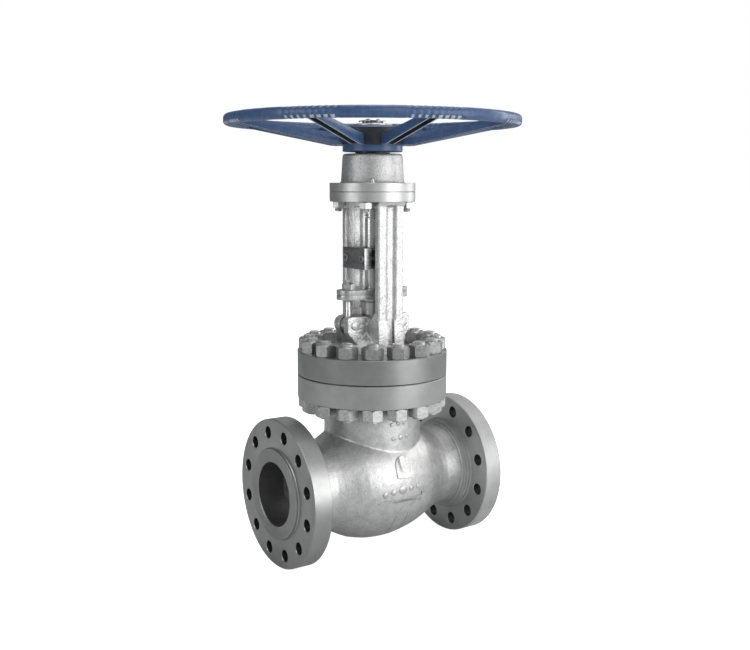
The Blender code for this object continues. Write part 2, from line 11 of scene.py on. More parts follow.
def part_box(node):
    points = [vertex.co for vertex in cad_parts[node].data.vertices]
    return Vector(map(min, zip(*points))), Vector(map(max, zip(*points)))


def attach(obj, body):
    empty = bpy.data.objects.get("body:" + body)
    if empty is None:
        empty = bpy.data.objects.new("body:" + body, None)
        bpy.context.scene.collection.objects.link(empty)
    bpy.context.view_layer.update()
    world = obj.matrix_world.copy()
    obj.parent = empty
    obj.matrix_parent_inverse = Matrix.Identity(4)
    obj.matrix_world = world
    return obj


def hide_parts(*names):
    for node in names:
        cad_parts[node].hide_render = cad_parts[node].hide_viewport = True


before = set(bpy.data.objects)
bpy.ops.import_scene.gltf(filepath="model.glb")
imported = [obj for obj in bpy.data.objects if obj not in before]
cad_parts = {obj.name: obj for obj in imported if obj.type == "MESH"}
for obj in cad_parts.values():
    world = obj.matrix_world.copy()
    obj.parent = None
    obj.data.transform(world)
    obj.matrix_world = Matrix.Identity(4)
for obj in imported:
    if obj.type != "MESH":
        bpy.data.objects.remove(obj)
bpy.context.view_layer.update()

# ---- Sizes, in metres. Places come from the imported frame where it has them. ----

BODY_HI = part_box("body")[1]
BONNET_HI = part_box("bonnet")[1]
CAP_LO, CAP_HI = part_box("yoke_cap")
WHEEL_LO, WHEEL_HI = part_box("handwheel")
SLEEVE_LO, SLEEVE_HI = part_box("yoke_sleeve")
STEM_LO, STEM_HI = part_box("stem")
GLAND_LO, GLAND_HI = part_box("gland_flange")
BLOCK_LO, BLOCK_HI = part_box("stem_guide_block")
PIN_LO, PIN_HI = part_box("eyebolt_pin_left")
EYE_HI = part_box("eyebolt_left")[1]

FLANGE_R = 0.1778
PIPE_Z = FLANGE_R                    # the flanges stand on the floor
FACE_X = BODY_HI.x
FLANGE_T = 0.0477
RAISED_R = 0.10795
RAISED_T = 0.007
PORT_R = 0.0762
BOLT_CIRCLE_R = 0.14605
BOLT_HOLE_R = 0.0143
BOLT_COUNT = 12
BULB_R = 0.148
NECK_R = 0.119
NECK_BORE_R = 0.094
RING_R = BODY_HI.y
RING_LOW_Z = PIPE_Z + 0.2068
JOINT_Z = BODY_HI.z
JOINT_SLOT = 0.0014
RING_TOP_Z = PIPE_Z + 0.3233
STUD_COUNT = 16
STUD_R = 0.014
STUD_CIRCLE_R = 0.1555
NUT_AF = 0.046
NUT_H = 0.028
STEM_R = 0.0185
BOX_R = 0.027
BOX_TOP_Z = PIPE_Z + 0.404
EYE_X = 0.070
EYE_Z = (PIN_LO.z + PIN_HI.z) / 2
EAR_R = 0.0215
EAR_HALF_Y = 0.0318
EAR_SLOT = 0.0208
ARM_IN_Y = 0.062
ARM_OUT_Y = 0.082
ARM_HALF_W = 0.036
YOKE_TOP_Z = BONNET_HI.z
YOKE_FLANGE_LOW_Z = YOKE_TOP_Z - 0.0236
CAP_FLANGE_R = 0.1035
CAP_FLANGE_TOP_Z = PIPE_Z + 0.727
CAP_TOP_Z = CAP_HI.z
CAP_STUD_CIRCLE_R = 0.084
CAP_BORE_R = 0.0605
HUB_LOW_Z = WHEEL_LO.z
HUB_TOP_Z = PIPE_Z + 0.862
WHEEL_R = WHEEL_HI.x
RIM_TOP_Z = WHEEL_HI.z
RIM_LOW_Z = RIM_TOP_Z - 0.026
SPOKE_COUNT = 8
SPOKE_TURN = radians(33.4)
THREAD_LEAD = 0.007
WORLD_LIGHT = 0.55

# The body that a piece rides on, and its slot.
CASTING = ("valve_body", "cast_steel")
BOLTING = ("valve_body", "bolting")
WHEEL = ("handwheel", "wheel_paint")


# ---- Mesh tools ----

def added(name, data):
    """A new object in the scene."""
    obj = bpy.data.objects.new(name, data)
    bpy.context.scene.collection.objects.link(obj)
    return obj


def finish(name, bm, mat=None, sharp=32):
    """A bmesh made into an object, with outward normals and edges kept sharp past an angle."""
    bmesh.ops.remove_doubles(bm, verts=bm.verts, dist=1e-7)
    bmesh.ops.recalc_face_normals(bm, faces=bm.faces)
    mesh = bpy.data.meshes.new(name)
    bm.to_mesh(mesh)
    bm.free()
    obj = added(name, mesh)
    if mat:
        mesh.materials.append(mat)
    mesh.shade_smooth()
    mesh.set_sharp_from_angle(angle=radians(sharp))
    return obj


def place(bm, axis, at):
    """Lay a shape built up Z along an axis and move it to its place."""
    turn = Matrix.Identity(4)
    if axis == "X":
        turn = Matrix.Rotation(pi / 2, 4, "Y")
    if axis == "Y":
        turn = Matrix.Rotation(-pi / 2, 4, "X")
    bmesh.ops.transform(bm, matrix=Matrix.Translation(at) @ turn, verts=bm.verts)


def circle(bm, r, z, segs, turn=0.0):
    """A level ring of points about Z."""
    angles = [turn + 2 * pi * i / segs for i in range(segs)]
    return [bm.verts.new((r * cos(a), r * sin(a), z)) for a in angles]


def skin(bm, rings):
    """Faces from each ring of points to the next, with three corners where a ring is one point."""
    for low, high in zip(rings, rings[1:]):
        for i in range(len(low)):
            j = (i + 1) % len(low)
            corners = []
            for v in (low[i], low[j], high[j], high[i]):
                if v not in corners:
                    corners.append(v)
            if len(corners) >= 3:
                bm.faces.new(corners)


def turned(name, outline, mat=None, segs=96, axis="Z", at=(0, 0, 0), turn=0.0):
    """A turned solid from a closed outline of (radius, height) points."""
    bm = bmesh.new()
    rings = []
    for r, h in outline:
        if r < 1e-9:
            rings.append([bm.verts.new((0, 0, h))] * segs)
        else:
            rings.append(circle(bm, r, h, segs, turn))
    skin(bm, rings + rings[:1])
    place(bm, axis, at)
    return finish(name, bm, mat)


def broken_ring(inner, r, z0, z1, edge):
    """The outline of a machined ring whose two outer corners are broken by a small chamfer."""
    return [(inner, z0), (r - edge, z0), (r, z0 + edge), (r, z1 - edge), (r - edge, z1), (inner, z1)]


def both_ends(half):
    """An outline alike at both ends, from its upper half listed from the end inwards."""
    return [(r, -z) for r, z in half] + list(reversed(half))


def rod(name, r, z0, z1, mat=None, segs=48, axis="Z", at=(0, 0, 0)):
    """A plain round bar, mostly used as a cutter."""
    return turned(name, [(0, z0), (r, z0), (r, z1), (0, z1)], mat, segs, axis, at)


def slab(name, outline, lo, hi, axis="Z", mat=None):
    """An outline drawn out along an axis. X takes (y, z), Y takes (x, z) and Z takes (x, y)."""
    spots = {
        "X": lambda u, v, w: (w, u, v),
        "Y": lambda u, v, w: (u, w, v),
        "Z": lambda u, v, w: (u, v, w),
    }[axis]
    bm = bmesh.new()
    low = [bm.verts.new(spots(u, v, lo)) for u, v in outline]
    high = [bm.verts.new(spots(u, v, hi)) for u, v in outline]
    bm.faces.new(low)
    bm.faces.new(list(reversed(high)))
    for i in range(len(outline)):
        j = (i + 1) % len(outline)
        bm.faces.new((low[i], high[i], high[j], low[j]))
    return finish(name, bm, mat)


def block(name, x0, x1, y0, y1, z0, z1, mat=None):
    """A plain box, used as raw material or as a cutter."""
    return slab(name, [(x0, y0), (x1, y0), (x1, y1), (x0, y1)], z0, z1, "Z", mat)


def arc(cx, cy, r, a0, a1, steps):
    """Points along an arc, with angles in degrees."""
    angles = [radians(a0 + (a1 - a0) * i / steps) for i in range(steps + 1)]
    return [(cx + r * cos(a), cy + r * sin(a)) for a in angles]


def rounded(outline, radius, steps=5):
    """An outline with each corner swapped for a short curve."""
    made = []
    count = len(outline)
    for i, (x, y) in enumerate(outline):
        here = Vector((x, y))
        back = Vector(outline[i - 1]) - here
        ahead = Vector(outline[(i + 1) % count]) - here
        reach = min(radius, back.length * 0.45, ahead.length * 0.45)
        a = here + back.normalized() * reach
        b = here + ahead.normalized() * reach
        for k in range(steps + 1):
            t = k / steps
            point = a * (1 - t) ** 2 + here * 2 * t * (1 - t) + b * t * t
            made.append((point.x, point.y))
    return made


def merged(name, parts):
    """Several objects made into one, with their materials left off."""
    bm = bmesh.new()
    for part in parts:
        bm.from_mesh(part.data)
        discard(part)
    return finish(name, bm)


def discard(obj):
    """Remove an object and its mesh."""
    mesh = obj.data
    bpy.data.objects.remove(obj, do_unlink=True)
    bpy.data.meshes.remove(mesh)


def settle(obj, sharp=32):
    """Bake the object's modifiers into its mesh and shade it."""
    bpy.context.view_layer.update()
    graph = bpy.context.evaluated_depsgraph_get()
    mesh = bpy.data.meshes.new_from_object(obj.evaluated_get(graph))
    old = obj.data
    obj.modifiers.clear()
    obj.data = mesh
    bpy.data.meshes.remove(old)
    mesh.shade_smooth()
    mesh.set_sharp_from_angle(angle=radians(sharp))
    return obj


def shaped(target, steps, sharp=32):
    """Apply exact booleans, given as (operation, object) pairs, and remove the objects used."""
    for kind, other in steps:
        step = target.modifiers.new(kind, "BOOLEAN")
        step.operation = kind
        step.solver = "EXACT"
        step.object = other
    settle(target, sharp)
    for _, other in steps:
        discard(other)
    return target


def eased(obj, width, segments=2, angle=40, sharp=32):
    """Break the sharp edges of a piece with a small bevel."""
    step = obj.modifiers.new("edges", "BEVEL")
    step.width = width
    step.segments = segments
    step.limit_method = "ANGLE"
    step.angle_limit = radians(angle)
    step.harden_normals = False
    return settle(obj, sharp)


def cast(obj, voxel, smoothing, sway, seed, grit):
    """Give a piece the soft fillets and slight unevenness of a sand casting."""
    remesh = obj.modifiers.new("voxels", "REMESH")
    remesh.mode = "VOXEL"
    remesh.voxel_size = voxel
    smooth = obj.modifiers.new("fillets", "SMOOTH")
    smooth.factor = 0.5
    smooth.iterations = smoothing
    settle(obj, 180)
    shift = Vector((seed, seed * 0.7, seed * 1.3))

    def height(co):
        slow = noise.noise(co * 28 + shift) + 0.45 * noise.noise(co * 130 + shift)
        return sway * slow + grit * noise.noise(co * 310 + shift)

    uneven(obj, height)
    return obj


def uneven(obj, height):
    """Push every vertex along its normal by a height that depends on its place."""
    mesh = obj.data
    normals = [tuple(normal.vector) for normal in mesh.vertex_normals]
    moved = []
    for vert, normal in zip(mesh.vertices, normals):
        moved.extend(vert.co + Vector(normal) * height(vert.co))
    mesh.vertices.foreach_set("co", moved)
    mesh.update()
    mesh.shade_smooth()


def paint(obj, *keys):
    """Give a piece its materials, in slot order, by their names in MATS."""
    obj.data.materials.clear()
    for key in keys:
        obj.data.materials.append(MATS[key])
    return obj


def around(count, radius, first=0.0):
    """Evenly spaced places on a circle, as (angle, x, y)."""
    angles = [first + 2 * pi * i / count for i in range(count)]
    return [(a, radius * cos(a), radius * sin(a)) for a in angles]


def stands_for(obj, body, slot, *nodes):
    """Ride on a body and take the place of the CAD nodes. The slot is not used."""
    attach(obj, body)
    if nodes:
        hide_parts(*nodes)
    return obj


# ---- Materials ----

class Wires:
    """A short way of adding nodes to a tree and wiring them."""

    def __init__(self, tree):
        self.tree = tree

    def link(self, a, b):
        self.tree.links.new(a, b)

    def node(self, kind, inputs=None, **props):
        made = self.tree.nodes.new("ShaderNode" + kind)
        for key, value in props.items():
            setattr(made, key, value)
        for key, value in (inputs or {}).items():
            socket = made.inputs[key]
            if isinstance(value, bpy.types.NodeSocket):
                self.link(value, socket)
            elif socket.type == "RGBA" and len(value) == 3:
                socket.default_value = (*value, 1)
            else:
                socket.default_value = value
        return made

    def ramp(self, fac, stops):
        """A colour ramp from (position, colour) stops. A plain number is a grey."""
        made = self.node("ValToRGB", {"Fac": fac})
        ramp = made.color_ramp
        while len(ramp.elements) < len(stops):
            ramp.elements.new(0.5)
        for element, (spot, colour) in zip(ramp.elements, stops):
            if not isinstance(colour, tuple):
                colour = (colour, colour, colour)
            element.position = spot
            element.color = (*colour, 1)
        return made.outputs["Color"]


class Nodes(Wires):
    """One material and the nodes round its shader."""

    def __init__(self, name, colour, rough, metal, **extra):
        self.mat = bpy.data.materials.new(name)
        self.mat.use_nodes = True
        super().__init__(self.mat.node_tree)
        self.shader = self.tree.nodes["Principled BSDF"]
        self.set("Base Color", (*colour, 1))
        self.set("Roughness", rough)
        self.set("Metallic", metal)
        for key, value in extra.items():
            self.set(key.replace("_", " "), value)
        self.place = self.node("TexCoord").outputs["Object"]

    def set(self, socket, value):
        self.shader.inputs[socket].default_value = value

    def noise(self, scale, detail=3.0, rough=0.55, stretch=None):
        spot = self.place
        if stretch:
            spot = self.node("Mapping", {"Vector": spot, "Scale": stretch}).outputs["Vector"]
        made = self.node("TexNoise", {"Vector": spot, "Scale": scale, "Detail": detail,
                                      "Roughness": rough})
        return made.outputs["Fac"]

    def scaled(self, fac, low, high):
        """A 0 to 1 value spread between two others."""
        made = self.node("MapRange", {"Value": fac, "To Min": low, "To Max": high})
        return made.outputs["Result"]

    def maths(self, kind, a, b=0.0):
        return self.node("Math", {0: a, 1: b}, operation=kind).outputs["Value"]

    def mix(self, fac, a, b, blend="MIX"):
        """Two colours blended. Sockets 6, 7 and 2 are the colour ones of a Mix node."""
        return self.node("Mix", {0: fac, 6: a, 7: b}, data_type="RGBA", blend_type=blend).outputs[2]

    def colour(self, socket):
        self.link(socket, self.shader.inputs["Base Color"])

    def roughness(self, scale, detail, low, high):
        """Roughness that wanders between two values with a noise."""
        self.link(self.scaled(self.noise(scale, detail), low, high), self.shader.inputs["Roughness"])

    def relief(self, *layers):
        """Layers of bump, each given as (height, strength, distance) and laid onto the last."""
        under = {}
        for height, strength, distance in layers:
            inputs = {"Height": height, "Strength": strength, "Distance": distance, **under}
            under = {"Normal": self.node("Bump", inputs).outputs["Normal"]}
        self.link(under["Normal"], self.shader.inputs["Normal"])

    def radius(self, axis, centre_z=0.0):
        """Distance from the pipe's axis (X) or the stem's (Z), for lathe marks."""
        shift = (0.0, 0.0, -centre_z)
        moved = self.node("Mapping", {"Vector": self.place, "Location": shift}).outputs["Vector"]
        flat = (0.0, 1.0, 1.0) if axis == "X" else (1.0, 1.0, 0.0)
        made = self.node("VectorMath", {0: moved, 1: flat}, operation="MULTIPLY")
        length = self.node("VectorMath", {0: made.outputs["Vector"]}, operation="LENGTH")
        return length.outputs["Value"]


def shade(colour, by, lift=0.0):
    """A colour made darker or lighter, held below white."""
    return tuple(min(1.0, c * by + lift) for c in colour)


def cast_steel(name, bright, rough, grain, speckle):
    """Silver-grey cast steel: sandy grain, soft undulation, pits, and painted shade darkening the
    hollows.
    """
    m = Nodes(name, (bright, bright, bright), 0.4, 0.92, Specular_IOR_Level=0.5)
    broad = m.noise(14, 3)
    sandy = m.noise(420, 6, 0.70)
    lumps = m.noise(190, 3, 0.6)
    fine = m.noise(1700, 3, 0.6)
    patches = m.noise(55, 5, 0.65)
    tone = m.ramp(patches, [(0.30, shade((0.80, 0.81, 0.80), bright)),
                            (0.55, shade((1.0, 1.0, 0.99), bright)),
                            (0.75, shade((1.10, 1.10, 1.09), bright))])
    dust = m.ramp(sandy, [(0.36, 0.45), (0.50, 1.0)])
    speckled = m.mix(speckle, tone, dust, "MULTIPLY")
    # Ambient occlusion darkens the colour in creases and hollows: painted shade.
    hollow = m.node("AmbientOcclusion", {"Distance": 0.045}, samples=6)
    painted_hollow_shade = m.ramp(hollow.outputs["AO"], [(0.20, 0.18), (0.80, 1.0)])
    m.colour(m.mix(0.8, speckled, painted_hollow_shade, "MULTIPLY"))
    m.roughness(90, 4, *rough)
    pits = m.node("TexVoronoi", {"Vector": m.place, "Scale": 240.0}, feature="F1")
    pit_shape = m.ramp(pits.outputs["Distance"], [(0.04, 0.0), (0.20, 1.0)])
    m.relief((broad, 0.22, 0.004), (patches, 0.25, 0.0012), (lumps, grain * 0.7, 0.0012),
             (sandy, grain, 0.0008), (pit_shape, 0.20, 0.0004), (fine, 0.25, 0.00018))
    return m.mat


def turned_steel(name, bright, rough, axis, centre_z=0.0, pitch=0.0012, marks=0.22):
    """Machined steel: fine rings left by the tool, with a stretched sheen across them."""
    m = Nodes(name, (bright, bright, bright), rough, 1.0, Anisotropic=0.55)
    radius = m.radius(axis, centre_z)
    wobble = m.scaled(m.noise(9, 2), -0.0004, 0.0004)
    wave = m.maths("SINE", m.maths("MULTIPLY", m.maths("ADD", radius, wobble), 2 * pi / pitch))
    coarse = m.noise(420, 4, 0.6)
    cloud = m.noise(16, 4, 0.6)
    tone = m.ramp(cloud, [(0.3, shade((0.86, 0.87, 0.86), bright)),
                          (0.7, shade((1.08, 1.09, 1.08), bright))])
    rings = m.node("TexNoise", {"W": radius, "Scale": 900.0, "Detail": 2.0}, noise_dimensions="1D")
    worn = m.ramp(rings.outputs["Fac"], [(0.3, 0.72), (0.7, 1.0)])
    m.colour(m.mix(0.35, tone, worn, "MULTIPLY"))
    m.roughness(60, 3, rough - 0.05, rough + 0.08)
    m.relief((wave, marks, 0.00010), (rings.outputs["Fac"], 0.25, 0.00015), (coarse, 0.08, 0.0002))
    tangent = m.node("Tangent", direction_type="RADIAL", axis=axis)
    m.link(tangent.outputs["Tangent"], m.shader.inputs["Tangent"])
    return m.mat


def forged_steel(name, bright, rough, tint=(1, 1, 1), scaling=0.3):
    """Plain forged and wrench-worn bolting, with faint scale and bright rubbed spots."""
    base = shade(tint, bright)
    m = Nodes(name, base, rough, 1.0)
    scale = m.noise(150, 5, 0.62)
    m.colour(m.ramp(scale, [(0.32, shade(base, 0.72)), (0.52, base), (0.74, shade(base, 1.22))]))
    m.roughness(220, 4, rough - 0.08, rough + 0.14)
    m.relief((scale, scaling, 0.0004), (m.noise(1400, 3), 0.12, 0.00012))
    return m.mat


def ground_steel(name, bright, rough):
    """Ground bar: a fine haze of rings round the bar and a clear sheen."""
    m = Nodes(name, (bright, bright, bright * 1.01), rough, 1.0, Anisotropic=0.4)
    pitch = 0.0009
    rings = m.noise(1.0 / pitch, 2, 0.5, stretch=(0.02, 0.02, 1.0))
    m.colour(m.ramp(m.noise(40, 3), [(0.3, bright * 0.9), (0.7, min(1.0, bright * 1.05))]))
    m.link(m.scaled(rings, rough - 0.05, rough + 0.10), m.shader.inputs["Roughness"])
    m.relief((rings, 0.12, 0.00008))
    return m.mat


def wheel_paint(name, colour, rough=0.36):
    """Enamel over cast iron: orange-peel gloss, the casting showing through, chips and dust."""
    m = Nodes(name, colour, rough, 0.0, Coat_Weight=0.22, Coat_Roughness=0.22)
    under = m.noise(95, 5, 0.6)
    peel = m.noise(520, 3, 0.5)
    tone = m.ramp(under, [(0.30, shade(colour, 0.78)), (0.52, colour),
                          (0.78, shade(colour, 1.18, 0.015))])
    flecks = m.ramp(m.noise(310, 6, 0.7), [(0.70, 0.0), (0.76, 1.0)])
    m.colour(m.mix(m.maths("MULTIPLY", flecks, 0.55), tone, (0.42, 0.50, 0.62)))
    m.roughness(70, 4, rough - 0.08, rough + 0.16)
    m.relief((under, 0.35, 0.0012), (peel, 0.16, 0.0003))
    return m.mat


def graphite(name):
    """Braided and pressed graphite."""
    m = Nodes(name, (0.035, 0.035, 0.038), 0.6, 0.0)
    weave = m.node("TexWave", {"Vector": m.place, "Scale": 160.0, "Distortion": 1.5},
                   wave_type="BANDS", bands_direction="DIAGONAL")
    m.colour(m.ramp(weave.outputs["Fac"], [(0.2, 0.02), (0.8, 0.06)]))
    m.relief((weave.outputs["Fac"], 0.5, 0.0005))
    return m.mat


MATS = {
    "cast": cast_steel("cast_silver", 0.78, (0.33, 0.50), 0.60, 0.50),
    "cast_yoke": cast_steel("cast_yoke", 0.88, (0.27, 0.42), 1.0, 1.0),
    "cast_cap": cast_steel("cast_cap", 0.70, (0.34, 0.50), 0.90, 0.95),
    "flange": turned_steel("turned_flange", 0.46, 0.34, "X", PIPE_Z, 0.0016),
    "raised": turned_steel("grooved_face", 0.46, 0.40, "X", PIPE_Z, 0.0010, 0.9),
    "ring": turned_steel("turned_ring", 0.40, 0.34, "Z", 0.0, 0.0012),
    "yoke_ring": turned_steel("turned_yoke_ring", 0.62, 0.36, "Z", 0.0, 0.0012),
    # A lighter copy of the flange steel for the outlet flange, whose back lies in the body's shadow:
    # painted light.
    "outlet_flange_lit_copy": turned_steel("turned_flange_painted_light", 0.62, 0.42, "X", PIPE_Z, 0.0016),
    # A lighter copy of the turned ring steel for the lower ring: painted light.
    "lower_ring_lit_copy": turned_steel("turned_ring_painted_light", 0.53, 0.34, "Z", 0.0, 0.0012),
    "hole": forged_steel("drilled_hole", 0.10, 0.55),
    "port": turned_steel("bored_port", 0.46, 0.42, "X", PIPE_Z, 0.0012, 0.1),
    "stud": forged_steel("stud_steel", 0.46, 0.38),
    # A lighter copy of the stud steel: painted light where it is laid on the lower bonnet nuts.
    "nut_low": forged_steel("nut_steel_light", 0.64, 0.40),
    "gland": forged_steel("gland_steel", 0.56, 0.36),
    # Light steel for the eyebolts and gland nuts, also laid on the stud tips and the cheek-plate ends
    # as a painted highlight.
    "light_steel_and_painted_highlight": forged_steel("gland_nut_steel_and_painted_highlight", 0.80, 0.32),
    "plate": forged_steel("blackened_plate", 0.26, 0.46, (1.0, 1.0, 1.05), 0.15),
    "stem": ground_steel("ground_stem", 0.72, 0.20),
    "trim": ground_steel("trim_steel", 0.60, 0.28),
    "bronze": forged_steel("bronze", 0.60, 0.30, (0.95, 0.66, 0.30), 0.1),
    "sleeve": forged_steel("sleeve_steel", 0.10, 0.40),
    "paint": wheel_paint("wheel_enamel", (0.050, 0.112, 0.250)),
    # Light enamel laid on rim ridges and spoke edges: painted highlight.
    "painted_highlight_enamel": wheel_paint("wheel_enamel_painted_highlight", (0.50, 0.57, 0.68), 0.42),
    # Near-black enamel laid under the spokes and on the hub drum: painted shade.
    "painted_shade_enamel": wheel_paint("wheel_enamel_painted_shade", (0.014, 0.024, 0.030), 0.5),
    "graphite": graphite("graphite_packing"),
}


# ---- Body casting ----

def body_casting():
    """The bulb, both hubs and the upright neck, with the hollow and its S-shaped web."""
    bulb = [(0.1022, -0.178), (0.1038, -0.162), (0.1085, -0.148), (0.1160, -0.132), (0.1265, -0.112),
            (0.1350, -0.094), (0.1408, -0.074), (0.1448, -0.055), (0.1470, -0.036), (0.1478, -0.020),
            (BULB_R, -0.008), (0.1470, 0.012), (0.1430, 0.036), (0.1390, 0.056), (0.1345, 0.074),
            (0.1278, 0.094), (0.1200, 0.112), (0.1125, 0.128), (0.1060, 0.146), (0.1030, 0.162),
            (0.1022, 0.180)]
    outline = [(0, -0.214), (0.102, -0.214)] + bulb + [(0.102, 0.214), (0, 0.214)]
    body = turned("body_casting", outline, None, 128, "X", (0, 0, PIPE_Z), 0.01)
    neck = turned("neck", [(0, PIPE_Z), (NECK_R, PIPE_Z), (NECK_R, RING_LOW_Z - 0.012),
                           (NECK_R + 0.003, RING_LOW_Z - 0.004), (NECK_R + 0.010, RING_LOW_Z + 0.002),
                           (0, RING_LOW_Z + 0.002)], None, 128, turn=0.013)
    inner = [(0.128, 0.0), (0.121, 0.060), (0.100, 0.112), (0.082, 0.152), (PORT_R, 0.185),
             (PORT_R, 0.25)]
    inner_left = [(r, -x) for r, x in reversed(inner)]
    hollow = turned("hollow", [(0, -0.25)] + inner_left + inner[1:] + [(0, 0.25)], None, 96,
                    "X", (0, 0, PIPE_Z), 0.02)
    riser = rod("riser", NECK_BORE_R, PIPE_Z + 0.002, JOINT_Z + 0.02, None, 96)
    half = [(-0.165, 0.112), (-0.098, 0.019), (0.1053, 0.019), (0.1812, -0.0863)]
    other = [(-x, 0.014 - z) for x, z in half]
    web = slab("web", [(x, PIPE_Z + z) for x, z in half + other], -0.17, 0.17, "Y")
    shaped(hollow, [("UNION", riser), ("DIFFERENCE", web)])
    seat = rod("seat_hole", 0.0823, PIPE_Z - 0.02, PIPE_Z + 0.03, None, 64)
    shaped(body, [("UNION", neck), ("DIFFERENCE", hollow), ("DIFFERENCE", seat)])
    cast(body, 0.0020, 5, 0.00035, 3.0, 0.00016)
    return stands_for(paint(body, "cast"), *CASTING, "body")


def flow_marks(casting):
    """Raised casting marks on the front: a blank pad, round buttons and a flow arrow. No letters."""
    surface = front_of(casting)
    pad = [(-0.0240, 0.030), (-0.0245, 0.055)] + arc(-0.001, 0.056, 0.0235, 170, 10, 12)
    pad += [(0.0225, 0.055), (0.0215, 0.027)]
    relief("mark_pad", rounded(pad, 0.005), 0.0024, surface)
    arrow = [(-0.074, -0.0205), (0.052, -0.0205), (0.052, -0.0125), (0.078, -0.0238),
             (0.052, -0.0345), (0.052, -0.0268), (-0.074, -0.0268)]
    relief("mark_arrow", arrow, 0.0018, surface)
    buttons = ((-0.058, -0.004, 0.0070), (-0.036, -0.001, 0.0070), (-0.010, 0.002, 0.0105),
               (0.016, 0.003, 0.0070), (0.036, 0.003, 0.0050), (-0.022, 0.156, 0.0048),
               (-0.005, 0.157, 0.0048), (0.012, 0.158, 0.0048), (-0.018, 0.122, 0.0048),
               (0.002, 0.123, 0.0062), (0.021, 0.125, 0.0048))
    for i, (x, z, r) in enumerate(buttons):
        relief("mark_button_%02d" % (i + 1), arc(x, z, r, 0, 342, 19), 0.0016, surface)
    for i, x in enumerate((-0.020, 0.016)):
        tick = [(x, -0.118), (x + 0.002, -0.118), (x + 0.002, -0.062), (x, -0.062)]
        relief("mark_seam_%d" % (i + 1), tick, 0.0009, surface)


def front_of(obj):
    """A lookup for the point of a piece's front and its outward direction, above (x, z)."""
    tree = BVHTree.FromPolygons([v.co for v in obj.data.vertices],
                                [p.vertices for p in obj.data.polygons])

    def find(x, z):
        spot, normal, _, _ = tree.ray_cast(Vector((x, -0.3, PIPE_Z + z)), Vector((0, 1, 0)))
        return spot, normal

    return find


def relief(name, outline, height, surface):
    """A raised mark laid onto a curved surface, with a sunk root so no gap shows under it."""
    fine = []
    count = len(outline)
    for i in range(count):
        a = Vector(outline[i])
        b = Vector(outline[(i + 1) % count])
        steps = max(1, int((b - a).length / 0.006))
        fine += [a.lerp(b, k / steps) for k in range(steps)]
    middle = sum(fine, Vector((0, 0))) / len(fine)
    bm = bmesh.new()
    levels = []
    for lift, shrink in ((-0.006, 0.0), (height * 0.45, 0.0), (height, 0.0010)):
        ring = []
        for point in fine:
            inward = (middle - point).normalized() * shrink if shrink else Vector((0, 0))
            spot, out = surface(point.x + inward.x, point.y + inward.y)
            ring.append(bm.verts.new(spot + out * lift))
        levels.append(ring)
    skin(bm, levels)
    for ring in (levels[0], levels[-1]):
        face = bm.faces.new(ring)
        bmesh.ops.triangulate(bm, faces=[face])
    mark = finish(name, bm, MATS["cast"], 50)
    return stands_for(mark, *CASTING, "body")


def end_flange(side, tag):
    """One end flange, machined all over: bolt holes, raised face and the step at its back."""
    back = FACE_X - RAISED_T - FLANGE_T
    front = FACE_X - RAISED_T
    edge = 0.0016
    outline = [(PORT_R, 0.205), (0.1045, 0.205), (0.1060, 0.2072), (0.1125, 0.2088),
               (0.1140, 0.2105), (0.1140, 0.2150), (0.1165, 0.2170), (0.1165, back - 0.002),
               (0.1190, back), (FLANGE_R - edge, back), (FLANGE_R, back + edge),
               (FLANGE_R, front - edge), (FLANGE_R - edge, front), (RAISED_R + 0.002, front),
               (RAISED_R, front + 0.002), (RAISED_R, FACE_X - 0.0006), (RAISED_R - 0.0006, FACE_X),
               (PORT_R + 0.0010, FACE_X), (PORT_R, FACE_X - 0.0010)]
    flange = turned("end_flange_" + tag, [(r, side * x) for r, x in outline], None, 160, "X",
                    (0, 0, PIPE_Z))
    holes = []
    lip = 0.0012
    spots = around(BOLT_COUNT, BOLT_CIRCLE_R, pi / BOLT_COUNT)
    for i, (_, u, v) in enumerate(spots):
        shape = [(0, back - 0.01), (BOLT_HOLE_R + lip + 0.01, back - 0.01),
                 (BOLT_HOLE_R, back + lip), (BOLT_HOLE_R, front - lip),
                 (BOLT_HOLE_R + lip + 0.01, front + 0.01), (0, front + 0.01)]
        holes.append(turned("hole_%d" % i, [(r, side * x) for r, x in shape], None, 40, "X",
                            (0, u, PIPE_Z + v)))
    shaped(flange, [("DIFFERENCE", merged("holes_" + tag, holes))])
    # The outlet flange takes the lighter copy of the flange steel: painted light on its shaded back.
    paint(flange, "flange" if side < 0 else "outlet_flange_lit_copy", "raised", "port", "hole")
    for face in flange.data.polygons:
        r = sqrt(face.center.y ** 2 + (face.center.z - PIPE_Z) ** 2)
        in_hole = any((face.center.y - u) ** 2 + (face.center.z - PIPE_Z - v) ** 2
                      < (BOLT_HOLE_R + 0.0003) ** 2 for _, u, v in spots)
        if abs(face.center.x) > FACE_X - 0.0002:
            face.material_index = 1
        elif r < PORT_R + 0.0002:
            face.material_index = 2
        elif in_hole and abs(face.normal.x) < 0.8:
            face.material_index = 3
    return stands_for(flange, *CASTING, "body")


# ---- Bonnet joint rings and studs ----

def joint_rings():
    """The two machined rings that the studs pull together, with a fine slot between them."""
    edge = 0.0014
    body_ring = [(0.1123, JOINT_Z), (0.1123, RING_LOW_Z + 0.004), (0.112, RING_LOW_Z),
                 (RING_R - edge, RING_LOW_Z), (RING_R, RING_LOW_Z + edge), (RING_R, JOINT_Z - edge),
                 (RING_R - edge, JOINT_Z)]
    bonnet_ring = broken_ring(0.040, RING_R, JOINT_Z + JOINT_SLOT, RING_TOP_Z, edge)
    # The lower ring takes the lighter copy of the ring steel: painted light.
    made = turned("body_ring", body_ring, MATS["lower_ring_lit_copy"], 160)
    stands_for(made, *CASTING, "body")
    made = turned("bonnet_ring", bonnet_ring, MATS["ring"], 160)
    stands_for(made, *CASTING, "bonnet")


